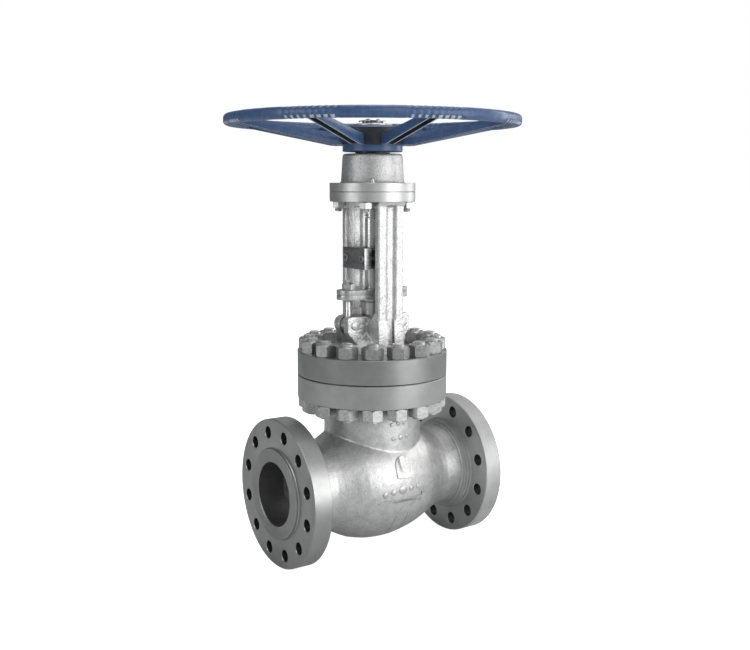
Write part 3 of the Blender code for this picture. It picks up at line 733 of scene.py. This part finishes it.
def hex_nut(name, af, z0, z1, turn=0.0):
    """A six-sided nut whose corners are cut back by a cone at both ends."""
    corner = af / 2 / cos(pi / 6)
    prism = turned(name, [(0, z0), (corner, z0), (corner, z1), (0, z1)], None, 6, turn=turn)
    rise = corner * 0.16
    cone = turned("cone", [(0, z0), (corner * 0.93, z0), (corner * 1.02, z0 + rise * 0.7),
                           (corner * 1.02, z1 - rise), (af * 0.475, z1), (0, z1)], None, 64)
    return shaped(prism, [("INTERSECT", cone)], 28)


def threaded_end(name, r, z_root, z_tip, pitch=0.003):
    """The visible end of a stud: a few thread ridges and a domed tip."""
    step = 1 if z_tip > z_root else -1
    depth = pitch * 0.30
    outline = [(0, z_root)]
    z = z_root
    while abs(z_tip - z) > pitch * 1.2:
        outline += [(r - depth, z), (r, z + step * pitch * 0.5)]
        z += step * pitch
    outline += [(r - depth, z), (r - depth * 0.5, z_tip - step * pitch * 0.5),
                (r * 0.72, z_tip - step * 0.0004), (r * 0.35, z_tip), (0, z_tip)]
    return turned(name, outline, None, 40)


def bonnet_studs():
    """Sixteen studs with a heavy nut at each end. Four variants, their nuts turned to listed angles,
    are shared.
    """
    low = RING_LOW_Z - 0.0003
    top = RING_TOP_Z + 0.0003
    variants = []
    for k, degrees in enumerate((7, 22, 38, 51)):
        turn = radians(degrees)
        upper = hex_nut("nut_up", NUT_AF, top, top + NUT_H, turn)
        lower = hex_nut("nut_low", NUT_AF, low - NUT_H, low, turn + 0.4 + 0.3 * k)
        tips = [threaded_end("tip_up", STUD_R, top + NUT_H - 0.002, top + NUT_H + 0.007),
                threaded_end("tip_low", STUD_R, low - NUT_H + 0.002, low - NUT_H - 0.007)]
        shank = rod("shank", STUD_R - 0.0005, low - 0.004, top + 0.004, None, 24)
        whole = merged("stud_variant_%d" % k, [upper, lower, shank] + tips)
        paint(whole, "stud", "nut_low", "light_steel_and_painted_highlight")
        # The lower nuts take the lighter copy of the nut steel, painted light; the stud tips above the
        # upper nuts take the light steel as a painted highlight.
        for face in whole.data.polygons:
            if face.center.z < low:
                face.material_index = 1
            elif face.center.z > top + NUT_H:
                face.material_index = 2
        variants.append(whole)
    for i, (a, x, y) in enumerate(around(STUD_COUNT, STUD_CIRCLE_R, pi / STUD_COUNT)):
        mesh = variants[(i * 7 + 3) % 4].data.copy()
        mesh.transform(Matrix.Translation((x, y, 0)) @ Matrix.Rotation(a, 4, "Z"))
        stud = added("stud_%02d" % (i + 1), mesh)
        stands_for(stud, *BOLTING, "bonnet_stud_%02d" % (i + 1))
    for whole in variants:
        discard(whole)


# ---- Bonnet neck, lugs and yoke ----

def arm_outline(side):
    """One arm's section: rounded corners and a channel down the outer face."""
    half = ARM_HALF_W
    right = [(0.0095, ARM_IN_Y + 0.0055), (0.0125, ARM_IN_Y), (half, ARM_IN_Y), (half, ARM_OUT_Y),
             (0.0140, ARM_OUT_Y), (0.0095, ARM_OUT_Y - 0.009)]
    points = right + [(-x, y) for x, y in reversed(right)]
    return [(x, side * y) for x, y in rounded(points, 0.005)]


def yoke_casting():
    """The bonnet's neck, stuffing box, gland lugs and both yoke arms as one rough casting."""
    low = RING_TOP_Z - 0.003
    yoke = turned("yoke_casting", [
        (0.040, low), (0.096, low), (0.090, RING_TOP_Z + 0.001), (0.080, RING_TOP_Z + 0.005),
        (0.073, RING_TOP_Z + 0.013), (0.066, RING_TOP_Z + 0.028), (0.056, PIPE_Z + 0.361),
        (0.0475, PIPE_Z + 0.371), (0.0475, BOX_TOP_Z - 0.003), (0.0445, BOX_TOP_Z),
        (BOX_R, BOX_TOP_Z), (BOX_R, PIPE_Z + 0.345), (0.040, PIPE_Z + 0.340)], None, 96, turn=0.01)
    steps = []
    for side, tag in ((-1, "front"), (1, "rear")):
        steps.append(("UNION", slab("arm_" + tag, arm_outline(side), low, YOKE_FLANGE_LOW_Z + 0.004)))
        root = [(side * 0.030, low), (side * 0.088, low), (side * 0.0845, RING_TOP_Z + 0.012),
                (side * 0.0815, BOX_TOP_Z - 0.004), (side * 0.062, BOX_TOP_Z + 0.016),
                (side * 0.046, BOX_TOP_Z - 0.006), (side * 0.030, BOX_TOP_Z - 0.014)]
        steps.append(("UNION", slab("root_" + tag, root, -0.0372, 0.0372, "X")))
        groove = block("groove_" + tag, -0.0085, 0.0085, side * 0.0735, side * 0.12,
                       RING_TOP_Z + 0.010, BOX_TOP_Z + 0.03)
        steps.append(("DIFFERENCE", groove))
        collar = slab("arm_head_" + tag, [
            (side * 0.056, YOKE_FLANGE_LOW_Z + 0.004), (side * 0.088, YOKE_FLANGE_LOW_Z + 0.004),
            (side * 0.083, YOKE_FLANGE_LOW_Z - 0.008), (side * 0.062, YOKE_FLANGE_LOW_Z - 0.014)],
            -0.0385, 0.0385, "X")
        steps.append(("UNION", collar))
    for side, tag in ((-1, "left"), (1, "right")):
        root = [(side * 0.035, PIPE_Z + 0.335), (side * 0.066, PIPE_Z + 0.341)]
        ear = root + [(side * x, z) for x, z in arc(EYE_X, EYE_Z, EAR_R, -40, 90, 12)]
        ear.append((side * 0.035, EYE_Z + EAR_R))
        square = root + [(side * 0.0905, EYE_Z - 0.0190), (side * 0.0910, EYE_Z + 0.0205),
                         (side * 0.035, EYE_Z + EAR_R)]
        steps.append(("UNION", slab("ear_far_" + tag, ear, -0.005, EAR_HALF_Y, "Y")))
        steps.append(("UNION", slab("ear_near_" + tag, rounded(square, 0.004), -EAR_HALF_Y, 0.004,
                                    "Y")))
    for x0, x1 in ((-0.11, -0.0495), (0.0495, 0.11)):
        steps.append(("DIFFERENCE", block("lug_slot", x0, x1, -EAR_SLOT / 2, EAR_SLOT / 2,
                                          PIPE_Z + 0.362, PIPE_Z + 0.43)))
    shaped(yoke, steps)
    cast(yoke, 0.0015, 4, 0.00050, 11.0, 0.00050)
    return stands_for(paint(yoke, "cast_yoke"), *CASTING, "bonnet")


def yoke_head():
    """The machined flange at the top of the yoke and the cap bolted onto it."""
    edge = 0.0010
    top = CAP_FLANGE_TOP_Z
    outline = broken_ring(0.036, CAP_FLANGE_R, YOKE_FLANGE_LOW_Z, YOKE_TOP_Z, edge)
    flange = turned("yoke_flange", outline, MATS["yoke_ring"], 144)
    stands_for(flange, *CASTING, "bonnet")
    outline = broken_ring(CAP_BORE_R, CAP_FLANGE_R, CAP_LO.z, top, edge)
    rim_piece = turned("cap_flange", outline, MATS["yoke_ring"], 144)
    stands_for(rim_piece, *CASTING, "yoke_cap")
    body = turned("cap_casting", [
        (CAP_BORE_R, top - 0.006), (0.079, top - 0.006), (0.0785, top), (0.0772, top + 0.0015),
        (0.0758, top + 0.005), (0.0724, CAP_TOP_Z - 0.009), (0.0718, CAP_TOP_Z - 0.005),
        (0.0700, CAP_TOP_Z - 0.0018), (0.0670, CAP_TOP_Z - 0.0004), (0.0640, CAP_TOP_Z - 0.0003),
        (0.0426, CAP_TOP_Z - 0.0003), (0.0426, PIPE_Z + 0.7583), (CAP_BORE_R, PIPE_Z + 0.7583)],
        None, 96)
    cast(body, 0.0013, 3, 0.00025, 23.0, 0.00042)
    stands_for(paint(body, "cast_cap"), *CASTING, "yoke_cap")
    for i, (a, x, y) in enumerate(around(4, CAP_STUD_CIRCLE_R, pi / 4)):
        nut_top = YOKE_FLANGE_LOW_Z - 0.0003
        nut = hex_nut("nut", 0.028, nut_top - 0.015, nut_top, a + 0.2 + 0.5 * i)
        tip = threaded_end("tip", 0.009, nut_top - 0.014, nut_top - 0.0242, 0.0025)
        shank = rod("shank", 0.0088, nut_top - 0.003, CAP_FLANGE_TOP_Z - 0.0055, None, 24)
        stud = merged("cap_stud_%d" % (i + 1), [nut, tip, shank])
        stud.data.transform(Matrix.Translation((x, y, 0)))
        paint(stud, "nut_low")
        stands_for(stud, *BOLTING, "yoke_cap_stud_%d" % (i + 1))


# ---- Gland ----

def gland():
    """The two-lobed plate, the sleeve under it, and the eyebolts, nuts and pins that hold it."""
    z0 = GLAND_LO.z
    z1 = GLAND_HI.z
    reach = GLAND_HI.x
    end_r = reach - EYE_X
    outline = arc(EYE_X, 0, end_r, -68, 68, 16) + arc(0, 0, 0.040, 72, 108, 10)
    outline += arc(-EYE_X, 0, end_r, 112, 248, 16) + arc(0, 0, 0.040, 252, 288, 10)
    mid = (z0 + z1) / 2
    inset = [(x * 0.985, y * 0.955) for x, y in outline]
    eye_spots = [(s * EYE_X, 0, 0) for s in (-1, 1)]
    layers = []
    for k, (shape, low, high) in enumerate(((outline, z0, mid - 0.0010), (outline, mid + 0.0010, z1),
                                            (inset, mid - 0.0016, mid + 0.0016))):
        layer = slab("gland_layer_%d" % k, shape, low, high)
        cutters = [rod("bore", 0.0225, z0 - 0.01, z1 + 0.01, None, 64)]
        cutters += [rod("eye", 0.0090, z0 - 0.01, z1 + 0.01, None, 40, "Z", at) for at in eye_spots]
        shaped(layer, [("DIFFERENCE", merged("gland_cut", cutters))])
        layers.append(eased(layer, 0.0012, 3) if k < 2 else layer)
    flange = merged("gland_plate", layers)
    stands_for(paint(flange, "gland"), "gland", "bolting", "gland_flange")

    follower_lo, follower_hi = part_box("gland_follower")
    r_low = 0.0264
    r_top = follower_hi.x
    collar = follower_hi.z - 0.0072
    follower = turned("gland_sleeve", [
        (0.0192, follower_lo.z), (r_low, follower_lo.z), (r_low, collar - 0.0020),
        (r_low + 0.0012, collar - 0.0006), (r_top - 0.001, collar), (r_top, collar + 0.001),
        (r_top, follower_hi.z - 0.001), (r_top - 0.001, follower_hi.z), (0.0192, follower_hi.z)],
        MATS["trim"], 80)
    stands_for(follower, "gland", "trim_steel", "gland_follower")

    for side, tag in ((-1, "left"), (1, "right")):
        x = side * EYE_X
        top = EYE_HI.z
        pitch = 0.002
        depth = 0.0006
        outline = [(0, EYE_Z + 0.010), (0.0080, EYE_Z + 0.010), (0.0080, z0 - 0.004)]
        z = z0 - 0.003
        while z < top - 0.003:
            outline += [(0.0080 - depth, z), (0.0080, z + pitch / 2)]
            z += pitch
        outline += [(0.0072, top - 0.0012), (0.0058, top - 0.0003), (0, top)]
        shank = turned("eyebolt_shank", outline, None, 32, "Z", (x, 0, 0))
        eye = turned("eye", both_ends([(0.0083, 0.0095), (0.0160, 0.0095), (0.0175, 0.0070)]),
                     None, 56, "Y", (x, 0, EYE_Z))
        bolt = merged("gland_eyebolt_" + tag, [shank, eye])
        stands_for(paint(bolt, "light_steel_and_painted_highlight"), *BOLTING, "eyebolt_" + tag)

        nut_lo, nut_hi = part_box("eyebolt_nut_" + tag)
        nut = hex_nut("gland_nut_" + tag, 0.027, nut_lo.z, nut_hi.z, pi / 6 + 0.18 * side)
        nut.data.transform(Matrix.Translation((x, 0, 0)))
        stands_for(paint(nut, "light_steel_and_painted_highlight"), "gland", "bolting", "eyebolt_nut_" + tag)

        end = PIN_HI.y
        head_under = 0.0323
        outline = both_ends([(0, end), (0.0085, end), (0.0105, end - 0.0008), (0.011, head_under),
                             (0.0080, head_under)])
        pin = turned("gland_pin_" + tag, outline, MATS["cast_yoke"], 48, "Y", (x, 0, EYE_Z))
        stands_for(pin, *BOLTING, "eyebolt_pin_" + tag)


# ---- Stem, its guide and the sleeve ----

def stem_piece():
    """The stem with its trapezoidal left-hand thread running up through the sleeve."""
    thread_low = SLEEVE_LO.z - 0.052
    steps = 32
    per_turn = 16
    depth = 0.0026
    bm = bmesh.new()
    levels = []
    collar_r = 0.0265
    plain = [(collar_r, STEM_LO.z), (collar_r, STEM_LO.z + 0.0185), (STEM_R, STEM_LO.z + 0.0187),
             (STEM_R, PIPE_Z + 0.158), (collar_r, PIPE_Z + 0.166), (collar_r, PIPE_Z + 0.182),
             (STEM_R, PIPE_Z + 0.190), (STEM_R, thread_low - 0.003)]
    for r, z in plain:
        levels.append(circle(bm, r, z, steps))
    rows = int((STEM_HI.z - 0.004 - thread_low) / THREAD_LEAD * per_turn)
    for k in range(rows + 1):
        z = thread_low + k * THREAD_LEAD / per_turn
        ring = []
        for i in range(steps):
            a = 2 * pi * i / steps
            phase = (k / per_turn + i / steps) % 1.0
            cut_in = min(1.0, max(0.0, (abs(phase - 0.5) - 0.17) / 0.12))
            runout = min(1.0, k / per_turn)
            r = STEM_R - depth * (1 - cut_in) * runout
            ring.append(bm.verts.new((r * cos(a), r * sin(a), z)))
        levels.append(ring)
    for r, z in ((STEM_R - 0.0010, STEM_HI.z - 0.0020), (STEM_R - 0.0030, STEM_HI.z)):
        levels.append(circle(bm, r, z, steps))
    skin(bm, levels)
    bm.faces.new(levels[0])
    bm.faces.new(levels[-1])
    made = finish("stem_bar", bm, MATS["stem"], 40)
    return stands_for(made, "stem", "stem_steel", "stem")


def guide():
    """The block gripped on the stem, its two cheek plates and their through bolts."""
    block_piece = block("guide_block", -0.0342, 0.0342, -0.0265, 0.0265, BLOCK_LO.z, BLOCK_HI.z)
    tongue = block("tongue", -0.022, 0.022, BLOCK_LO.y, BLOCK_HI.y, BLOCK_LO.z + 0.004,
                   BLOCK_HI.z - 0.004)
    bore = rod("bore", STEM_R + 0.0003, BLOCK_LO.z - 0.01, BLOCK_HI.z + 0.01, None, 64)
    bolt_z = (BLOCK_LO.z + BLOCK_HI.z) / 2
    bolt_y = 0.0345

    def bars(r, x0, x1, segs):
        """A cutter of two round bars along X, one at each bolt."""
        return merged("bars", [rod("bar", r, x0, x1, None, segs, "X", (0, s * bolt_y, bolt_z))
                               for s in (-1, 1)])

    clear = bars(0.0064, -0.07, 0.07, 24)
    shaped(block_piece, [("UNION", tongue), ("DIFFERENCE", bore), ("DIFFERENCE", clear)])
    eased(block_piece, 0.0010)
    stands_for(paint(block_piece, "plate"), "stem", "dark_plate", "stem_guide_block")
    for side, tag in ((-1, "front"), (1, "rear")):
        lo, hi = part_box("guide_plate_" + tag)
        plate = block("cheek_plate_" + tag, lo.x, hi.x, lo.y, hi.y, lo.z, hi.z)
        outer = lo.x if side < 0 else hi.x
        seat_depth = 0.0012
        shaped(plate, [("DIFFERENCE", bars(0.0064, -0.08, 0.08, 32)),
                       ("DIFFERENCE", bars(0.0110, outer - seat_depth, outer + seat_depth, 48))])
        eased(plate, 0.0012, 3)
        paint(plate, "plate", "light_steel_and_painted_highlight")
        # Both end faces of each cheek plate take the light steel: a painted highlight.
        for face in plate.data.polygons:
            if abs(face.center.y) > hi.y - 0.0005:
                face.material_index = 1
        stands_for(plate, "stem", "dark_plate", "guide_plate_" + tag)
    for s, tag in ((-1, "near"), (1, "far")):
        head = 0.0095
        head_under = 0.0527
        end = 0.0565
        outline = both_ends([(0, end), (head - 0.0010, end), (head, end - 0.0010),
                             (head, head_under), (0.0060, head_under)])
        bolt = turned("cheek_bolt_" + tag, outline, None, 40, "X", (0, s * bolt_y, bolt_z))
        sockets = [turned("socket", [(0, x0), (0.0058, x0), (0.0058, x1), (0, x1)], None, 6, "X",
                          (0, s * bolt_y, bolt_z))
                   for x0, x1 in ((-end - 0.01, -end + 0.0035), (end - 0.0035, end + 0.01))]
        shaped(bolt, [("DIFFERENCE", merged("sockets", sockets))])
        stands_for(paint(bolt, "stud"), "stem", "bolting", "guide_bolt_" + tag)


def sleeve_piece():
    """The sleeve seen between cap and hub, and its threaded top above the wheel."""
    low = SLEEVE_LO.z
    bore = STEM_R + 0.0004
    made = turned("stem_sleeve", [
        (bore, low), (0.0345, low), (0.0355, low + 0.001), (0.0355, PIPE_Z + 0.7205),
        (0.0585, PIPE_Z + 0.7205), (0.0585, PIPE_Z + 0.7445), (0.0416, PIPE_Z + 0.7445),
        (0.0416, HUB_LOW_Z - 0.0003), (0.030, HUB_LOW_Z - 0.0003), (0.030, HUB_TOP_Z),
        (0.0253, HUB_TOP_Z), (0.0253, SLEEVE_HI.z - 0.001), (0.0243, SLEEVE_HI.z),
        (bore + 0.0015, SLEEVE_HI.z), (bore, SLEEVE_HI.z - 0.0015)], MATS["sleeve"], 96)
    stands_for(made, "handwheel", "bronze", "yoke_sleeve")
    lo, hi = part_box("handwheel_washer")
    washer = turned("wheel_washer", [
        (0.0262, lo.z), (0.0470, lo.z), (0.0470, hi.z - 0.001), (0.0460, hi.z), (0.0262, hi.z)],
        MATS["nut_low"], 80)
    stands_for(washer, "handwheel", "bolting", "handwheel_washer")
    lo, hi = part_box("handwheel_locknut")
    nut = hex_nut("wheel_locknut", 0.058, lo.z, hi.z, 0.35)
    shaped(nut, [("DIFFERENCE", rod("bore", 0.0259, lo.z - 0.01, hi.z + 0.01, None, 64))])
    stands_for(paint(nut, "nut_low"), "handwheel", "bolting", "handwheel_locknut")


# ---- Handwheel ----

def off_spoke(angle):
    """How far an angle is from the middle of the nearest spoke."""
    pitch = 2 * pi / SPOKE_COUNT
    return (angle - SPOKE_TURN + pitch / 2) % pitch - pitch / 2


def grip_wave(angle):
    """How far the rim is scooped in at an angle, from 0 on a ridge to 1 in a scoop.

    Each spoke's end carries one group of finger grips, and the rim between groups is plain.
    """
    off = off_spoke(angle)
    width = radians(11.5)
    if abs(off) > width:
        return 0.0
    fade = min(1.0, (width - abs(off)) / radians(1.6))
    return fade * (0.5 + 0.5 * cos(off / width * 9 * pi))


def rim():
    """The rim, swept round with its finger grips scooped from the outer and lower faces."""
    segs = 720
    r = 0.009
    outer = WHEEL_R
    inner = WHEEL_R - 0.030
    outer_scoop = 0.0036
    inner_scoop = 0.0030
    face_scoop = 0.0024
    section = []
    for cx, cz, a0 in ((outer - r, RIM_LOW_Z + r, -90), (outer - r, RIM_TOP_Z - r, 0),
                       (inner + r, RIM_TOP_Z - r, 90), (inner + r, RIM_LOW_Z + r, 180)):
        section += arc(cx, cz, r, a0, a0 + 90, 5)
    bm = bmesh.new()
    rings = []
    middle_z = (RIM_LOW_Z + RIM_TOP_Z) / 2
    for i in range(segs):
        a = 2 * pi * i / segs
        wave = grip_wave(a)
        ring = []
        for rad, z in section:
            outwards = max(0.0, (rad - (outer - 0.012)) / 0.012)
            inwards = max(0.0, ((inner + 0.010) - rad) / 0.010)
            lift = (z - middle_z) / (RIM_TOP_Z - middle_z)
            corner = abs(lift) ** 1.5
            rad2 = rad - outer_scoop * wave * outwards * corner + inner_scoop * wave * inwards * corner
            z2 = z - face_scoop * wave * lift * max(outwards, inwards, 0.25)
            ring.append(bm.verts.new((rad2 * cos(a), rad2 * sin(a), z2)))
        rings.append(ring)
    skin(bm, rings + rings[:1])
    made = paint(finish("wheel_rim", bm, sharp=180), "paint", "painted_highlight_enamel")
    # Faces on the grip ridges along the lower outer corner take the light enamel: a painted highlight.
    for face in made.data.polygons:
        c = face.center
        lift = (c.z - middle_z) / (RIM_TOP_Z - middle_z)
        angle = atan2(c.y, c.x)
        ridge = abs(off_spoke(angle)) < radians(9.5) and grip_wave(angle) < 0.45
        if ridge and -0.95 < lift < -0.45 and c.xy.length > outer - 0.009:
            face.material_index = 1
    uneven(made, lambda co: noise.noise(co * 60) * 0.00025 - 0.00025)
    return stands_for(made, *WHEEL, "handwheel")


def spokes():
    """Eight arms with an upside-down channel section, rising from the hub to the rim."""
    half = 0.0125
    wall = 0.0042
    drop = 0.005
    r0 = 0.060
    r1 = 0.104
    r2 = WHEEL_R - 0.016
    z_hub = PIPE_Z + 0.8156
    z_rim = RIM_LOW_Z + 0.002
    h_hub = 0.027
    h_rim = 0.016
    for i in range(SPOKE_COUNT):
        side = [(r0, z_hub), (r1, z_hub), (r2, z_rim), (r2, z_rim + h_rim), (r1, z_hub + h_hub),
                (r0, z_hub + h_hub)]
        arm = slab("wheel_spoke_%d" % (i + 1), side, -half, half, "Y")
        under = [(0.088, z_hub - 0.01), (r1, z_hub - 0.01), (r2 - 0.004, z_rim - 0.010),
                 (r2 - 0.004, z_rim + h_rim - drop), (r1, z_hub + h_hub - drop),
                 (0.088, z_hub + h_hub - drop)]
        shaped(arm, [("DIFFERENCE", slab("under", under, -half + wall, half - wall, "Y"))])
        eased(arm, 0.0012, 2, 50)
        slope = (z_rim - z_hub) / (r2 - r1)
        paint(arm, "paint", "painted_highlight_enamel", "painted_shade_enamel")
        for face in arm.data.polygons:
            c = face.center
            bottom = z_hub + max(0.0, c.x - r1) * slope
            # The bottom edges of the channel walls take the light enamel: painted highlight lines.
            if face.normal.z < -0.6 and c.z < bottom + 0.002:
                face.material_index = 1
            # The inside of the channel takes the near-black enamel: painted shade under the spoke.
            elif abs(c.y) < half - wall + 0.0006 and c.z < bottom + h_hub - 0.006:
                if abs(face.normal.y) > 0.5 or face.normal.z < -0.5:
                    face.material_index = 2
        arm.data.transform(Matrix.Rotation(SPOKE_TURN + 2 * pi * i / SPOKE_COUNT, 4, "Z"))
        stands_for(arm, *WHEEL, "handwheel")


def hub():
    """The boss of the wheel: a cylinder, the drum that carries the spokes, and its dished top."""
    drum_low = PIPE_Z + 0.8154
    drum_top = PIPE_Z + 0.858
    r = 0.083
    made = turned("wheel_hub", [
        (0.0305, HUB_LOW_Z), (0.0705, HUB_LOW_Z), (0.0721, HUB_LOW_Z + 0.0016),
        (0.0721, drum_low - 0.0008), (0.0740, drum_low), (r - 0.0015, drum_low),
        (r, drum_low + 0.0015), (r, drum_top - 0.002), (r - 0.002, drum_top), (r - 0.008, drum_top),
        (r - 0.010, drum_top - 0.002), (r - 0.012, drum_top - 0.018), (r - 0.016, drum_top - 0.022),
        (0.056, drum_top - 0.022), (0.052, drum_top - 0.019), (0.0505, HUB_TOP_Z - 0.002),
        (0.0485, HUB_TOP_Z), (0.0305, HUB_TOP_Z)], None, 128)
    paint(made, "paint", "painted_shade_enamel")
    # The drum's side takes the near-black enamel: painted shade under the rim and spokes.
    for face in made.data.polygons:
        if face.center.xy.length > r - 0.0012 and face.center.z < drum_top - 0.004:
            face.material_index = 1
    stands_for(made, *WHEEL, "handwheel")


# ---- Small trim ----

def trim_pieces():
    """The blank tag on the ring, the grease nipple, and finishes for the hidden CAD pieces."""
    tag = turned("rim_tag", [
        (0, RING_R - 0.002), (0.0094, RING_R - 0.002), (0.0100, RING_R + 0.001),
        (0.0100, RING_R + 0.0030), (0.0094, RING_R + 0.0036), (0.0040, RING_R + 0.0036),
        (0.0036, RING_R + 0.0040), (0.0030, RING_R + 0.0048), (0, RING_R + 0.0050)],
        MATS["stem"], 56, "X")
    spot = Matrix.Translation((0, 0, PIPE_Z + 0.235)) @ Matrix.Rotation(radians(50), 4, "Z")
    tag.data.transform(spot)
    stands_for(tag, "valve_body", "stem_steel", "identification_tag")

    lo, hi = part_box("grease_nipple")
    middle = ((lo.x + hi.x) / 2, (lo.y + hi.y) / 2, 0)
    nipple = turned("grease_fitting", [
        (0, lo.z), (0.0048, lo.z), (0.0050, lo.z + 0.0005), (0.0050, lo.z + 0.0035),
        (0.0040, lo.z + 0.0040), (0.0026, lo.z + 0.0046), (0.0024, lo.z + 0.0060),
        (0.0032, lo.z + 0.0070), (0.0032, lo.z + 0.0082), (0.0022, hi.z - 0.0005), (0, hi.z)],
        MATS["stem"], 32, "Z", middle)
    stands_for(nipple, "valve_body", "stem_steel", "grease_nipple")

    finishes = {
        "trim": ("seat_ring", "disc", "disc_nut", "backseat_bushing"),
        "graphite": ["bonnet_gasket"] + ["packing_ring_%d" % i for i in range(1, 6)],
        "bronze": ("thrust_washer_lower", "thrust_washer_upper"),
        "stem": ("handwheel_key",),
    }
    for key, nodes in finishes.items():
        for node in nodes:
            paint(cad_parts[node], key)


# ---- Studio and camera ----

def studio():
    """A white floor, a soft world brighter to the right and above, and five large soft lights."""
    floor_mesh = bpy.data.meshes.new("floor")
    reach = 60.0
    corners = ((-1, -1), (1, -1), (1, 1), (-1, 1))
    floor_mesh.from_pydata([(reach * x, reach * y, 0) for x, y in corners], [], [(0, 1, 2, 3)])
    floor = added("floor", floor_mesh)
    m = Nodes("pale_floor", (0.90, 0.90, 0.90), 0.9, 0.0, Specular_IOR_Level=0.1)
    m.set("Emission Color", (1, 1, 1, 1))
    m.set("Emission Strength", 0.90)
    away = m.node("BsdfDiffuse", {"Color": (0.66, 0.67, 0.67)})
    both = m.node("MixShader", {0: m.node("LightPath").outputs["Is Camera Ray"],
                                1: away.outputs["BSDF"], 2: m.shader.outputs["BSDF"]})
    m.link(both.outputs["Shader"], m.tree.nodes["Material Output"].inputs["Surface"])
    floor_mesh.materials.append(m.mat)

    world = bpy.data.worlds.new("studio")
    bpy.context.scene.world = world
    world.use_nodes = True
    world.node_tree.nodes.clear()
    w = Wires(world.node_tree)
    towards_glow = (0.80, -0.25, 0.55)
    lean = w.node("VectorMath", {0: w.node("TexCoord").outputs["Generated"], 1: towards_glow},
                  operation="DOT_PRODUCT")
    spread = w.node("MapRange", {"Value": lean.outputs["Value"], "From Min": -1.0})
    glow = w.ramp(spread.outputs["Result"], [(0.10, (0.10, 0.11, 0.12)), (0.45, (0.30, 0.31, 0.33)),
                                             (0.90, 1.0)])
    soft = w.node("Background", {"Color": glow, "Strength": WORLD_LIGHT})
    seen = w.node("Background", {"Color": (1, 1, 1), "Strength": 1.0})
    mix = w.node("MixShader", {0: w.node("LightPath").outputs["Is Camera Ray"],
                               1: soft.outputs[0], 2: seen.outputs[0]})
    w.node("OutputWorld", {"Surface": mix.outputs[0]})

    softbox("key", (1.25, -3.1, 0.95), 43, 2.2, 2.2)
    softbox("front", (-1.3, -3.2, 1.9), 13, 1.4, 1.6)
    softbox("right", (3.1, -0.4, 1.4), 22, 0.8, 2.2)
    softbox("left", (-3.1, -0.1, 1.5), 24, 1.5, 1.9)
    softbox("top", (0.4, 0.2, 3.4), 26, 1.8, 1.8)


def softbox(name, spot, power, width, height):
    """A large rectangular area light aimed at the middle of the valve."""
    data = bpy.data.lights.new(name, "AREA")
    data.shape = "RECTANGLE"
    data.size = width
    data.size_y = height
    data.energy = power
    light = added(name, data)
    light.location = spot
    aim = Vector((0, 0, 0.45)) - Vector(spot)
    light.rotation_euler = aim.to_track_quat("-Z", "Y").to_euler()


def camera():
    """The photographer's view: from the front left, a little above the middle."""
    data = bpy.data.cameras.new("camera")
    data.sensor_width = 36.0
    data.sensor_fit = "HORIZONTAL"
    data.lens = 48.70
    data.clip_end = 60
    eye = added("camera", data)
    heading = Matrix.Rotation(radians(-34.2925), 4, "Z")
    tilt = Matrix.Rotation(radians(90 - 7.979), 4, "X")
    roll = Matrix.Rotation(radians(0.152), 4, "Z")
    place_at = Matrix.Translation((-1.38483, -2.04291, PIPE_Z + 0.72715))
    eye.matrix_world = place_at @ heading @ tilt @ roll
    bpy.context.scene.camera = eye
    bpy.context.scene.view_settings.view_transform = "Standard"


flow_marks(body_casting())
end_flange(-1, "inlet")
end_flange(1, "outlet")
joint_rings()
bonnet_studs()
yoke_casting()
yoke_head()
gland()
stem_piece()
guide()
sleeve_piece()
rim()
spokes()
hub()
trim_pieces()
studio()
camera()

bpy.context.view_layer.update()
